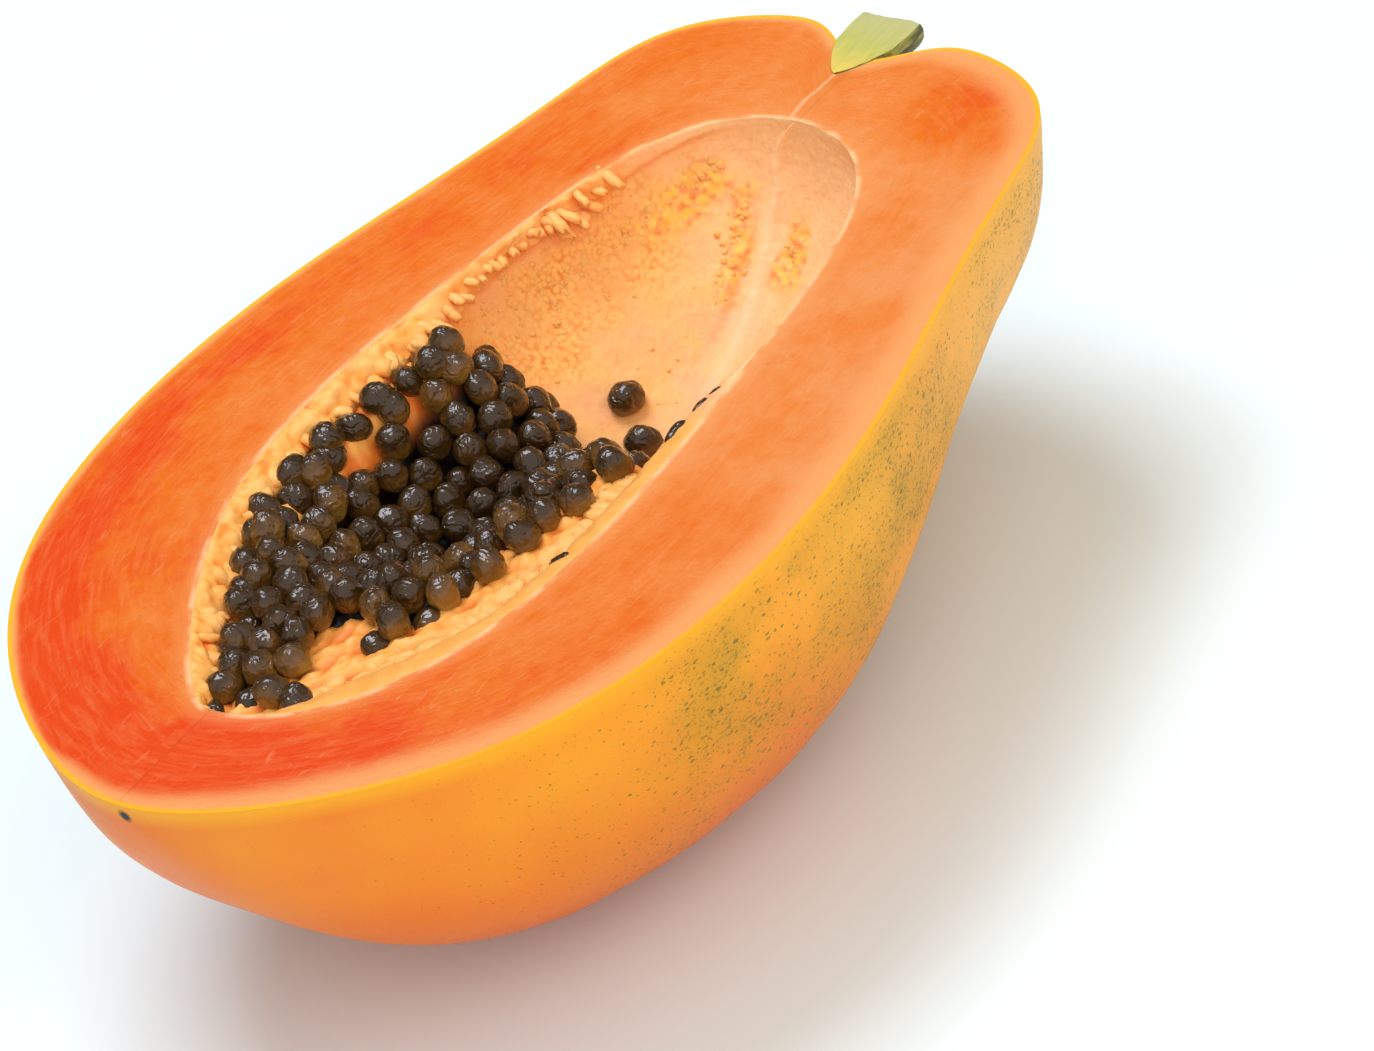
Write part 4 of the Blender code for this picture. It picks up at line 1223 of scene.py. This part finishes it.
                    # Painted shade: the bed is dark away from the pulp, and its pulp is darker towards the middle and
                    # on the far slope
                    marks["shade"].append(1 - smooth((pulpy - 0.15) / 0.5))
                    slope = smooth((across * 1000 - 8) / 8) * smooth((along * 1000 - 70) / 15)
                    marks["height"].append(lumps * 0.9 - 0.1 - 0.6 * (1 - pulpy) - 0.45 * slope)
        faces = []
        count = (columns + 1) * (rows + 1)
        for i in range(columns):
            for j in range(rows):
                a, b = i * (rows + 1) + j, (i + 1) * (rows + 1) + j
                faces.append((a, b, b + 1, a + 1))
                faces.append((count + a, count + a + 1, count + b + 1, count + b))
        edges = [i * (rows + 1) for i in range(columns + 1)]
        edges += [columns * (rows + 1) + j for j in range(1, rows + 1)]
        edges += [i * (rows + 1) + rows for i in range(columns - 1, -1, -1)] + list(range(rows - 1, 0, -1))
        for a, b in zip(edges, edges[1:] + edges[:1]):
            faces.append((b, a, count + a, count + b))
        marks = {name: numbers for name, numbers in marks.items() if numbers}
        bed = add_piece("papaya_seed_bed_and_painted_shade", verts, faces, [bpy.data.materials[LINING]], marks)
        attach(bed, "root")


class PAPAYA_OT_stem(bpy.types.Operator):
    """Make half of the stem, which the knife cut with the fruit"""

    bl_idname = "papaya.stem"
    bl_label = "Stem"

    def execute(self, context):
        rounds, steps = 40, 44
        verts, cuts = [], []
        for i in range(rounds + 1):
            share = i / rounds
            along = STEM_POINT + (STEM_END - STEM_POINT) * share
            half = STEM_RADIUS * min(1.0, ((along - STEM_POINT) / (STEM_FULL - STEM_POINT)) ** 0.75 + 0.02)
            half *= 1 + 0.02 * math.sin(9 * share)
            for k in range(steps):
                angle = 2 * math.pi * k / steps
                across, up = half * math.cos(angle), half * math.sin(angle)
                bark = 0.25 * MM * noise.noise(Vector((along * 90, angle * 2.2, 7.0)))
                if up > 0:
                    up = 0.25 * MM + 0.15 * MM * noise.noise(Vector((along, across, 0)) * 500)
                    across *= 0.985
                else:
                    across += bark * math.cos(angle)
                    up += bark * math.sin(angle)
                ragged = 0.5 * MM * noise.noise(Vector((across * 700, up * 700, 1))) if i == rounds else 0.0
                verts.append(place(Vector((along + ragged, STEM_SIDE + across + 0.0005 * (1 - share), up))))
                cuts.append(1.0 if math.sin(angle) > 0.05 else 0.0)
        faces = []
        for i in range(rounds):
            for k in range(steps):
                n = (k + 1) % steps
                faces.append((i * steps + k, i * steps + n, (i + 1) * steps + n, (i + 1) * steps + k))
        faces.append(tuple(range(steps - 1, -1, -1)))
        faces.append(tuple(rounds * steps + k for k in range(steps)))
        stem = add_piece("papaya_stem", verts, faces, [stem_material(context.scene.papaya_stem)], {"cut": cuts})
        stem.data.set_sharp_from_angle(angle=math.radians(45))
        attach(stem, "root")
        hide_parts("stem_stub")
        return {"FINISHED"}


class PAPAYA_OT_stage(bpy.types.Operator):
    """Set up the pale floor, the soft lights and the camera"""

    bl_idname = "papaya.stage"
    bl_label = "Floor, lights and camera"

    def execute(self, context):
        look = context.scene.papaya_stage
        half = look.floor_size / 2
        corners = [(-half, -half, 0), (half, -half, 0), (half, half, 0), (-half, half, 0)]
        floor = add_piece("floor", corners, [(0, 1, 2, 3)], [self.floor_surface(look)])
        self.add_softbox("softbox_overhead", OVERHEAD_AT, 0.60, look.softbox_power, "EAF1FF")
        fill = self.add_softbox("softbox_front", FRONT_AT, 1.2, look.fill_power, "FFFAF4")
        fill.visible_glossy = False
        world = bpy.data.worlds.new("studio")
        context.scene.world = world
        world.use_nodes = True
        tree = world.node_tree
        back = tree.nodes["Background"]
        ways = add_node(tree, "TexCoord")
        towards = add_node(tree, "VectorMath", {0: ways, 1: LIGHT_SIDE}, operation="DOT_PRODUCT")
        grey = add_node(tree, "MapRange", {"Value": towards, "From Min": -0.5, "From Max": 0.5, "To Min": 0.10})
        feed(back, {"Color": grey, "Strength": look.sky})
        lens = bpy.data.cameras.new("camera")
        lens.lens = look.lens
        lens.sensor_width = 36.0
        lens.clip_start = 0.05
        lens.clip_end = 20.0
        camera = bpy.data.objects.new("camera", lens)
        turned = Matrix((CAMERA_RIGHT, CAMERA_UP, CAMERA_BACK)).transposed().to_4x4()
        camera.matrix_world = Matrix.Translation(CAMERA_AT) @ turned
        context.scene.collection.objects.link(camera)
        context.scene.camera = camera
        context.scene.view_settings.view_transform = "Standard"
        return {"FINISHED"}

    def floor_surface(self, look):
        """Matt white card."""
        material, _, shader = new_material("White card, matt")
        feed(shader, {"Base Color": opaque(look.floor_colour), "Roughness": 0.8})
        return material

    def add_softbox(self, name, at, size, power, colour):
        light = bpy.data.lights.new(name, "AREA")
        light.shape = "SQUARE"
        light.size = size
        light.energy = power
        light.color = linear(colour)
        box = bpy.data.objects.new(name, light)
        box.location = at
        aim = Vector((0, 0, 0.04)) - Vector(at)
        box.rotation_mode = "QUATERNION"
        box.rotation_quaternion = aim.to_track_quat("-Z", "Y")
        bpy.context.scene.collection.objects.link(box)
        return box


class PAPAYA_PT_panel(bpy.types.Panel):
    """Lists the pieces of the papaya half"""

    bl_idname = "PAPAYA_PT_panel"
    bl_label = "Papaya half"
    bl_space_type = "VIEW_3D"
    bl_region_type = "UI"
    bl_category = "Papaya"

    def draw(self, context):
        for operator in OPERATORS:
            self.layout.operator(operator.bl_idname, text=operator.bl_label)


SETTINGS = (
    ("papaya_fruit", PapayaFruitSettings),
    ("papaya_seeds", PapayaSeedSettings),
    ("papaya_stem", PapayaStemSettings),
    ("papaya_stage", PapayaStageSettings),
)
OPERATORS = (PAPAYA_OT_half, PAPAYA_OT_pulp, PAPAYA_OT_seeds, PAPAYA_OT_stem, PAPAYA_OT_stage)


def register():
    for name, settings in SETTINGS:
        bpy.utils.register_class(settings)
        setattr(bpy.types.Scene, name, bpy.props.PointerProperty(type=settings))
    for operator in OPERATORS:
        bpy.utils.register_class(operator)
    bpy.utils.register_class(PAPAYA_PT_panel)


def unregister():
    bpy.utils.unregister_class(PAPAYA_PT_panel)
    for operator in reversed(OPERATORS):
        bpy.utils.unregister_class(operator)
    for name, settings in reversed(SETTINGS):
        delattr(bpy.types.Scene, name)
        bpy.utils.unregister_class(settings)


def main():
    register()
    bpy.ops.papaya.half()
    bpy.ops.papaya.pulp()
    bpy.ops.papaya.seeds()
    bpy.ops.papaya.stem()
    bpy.ops.papaya.stage()


if __name__ == "__main__":
    main()
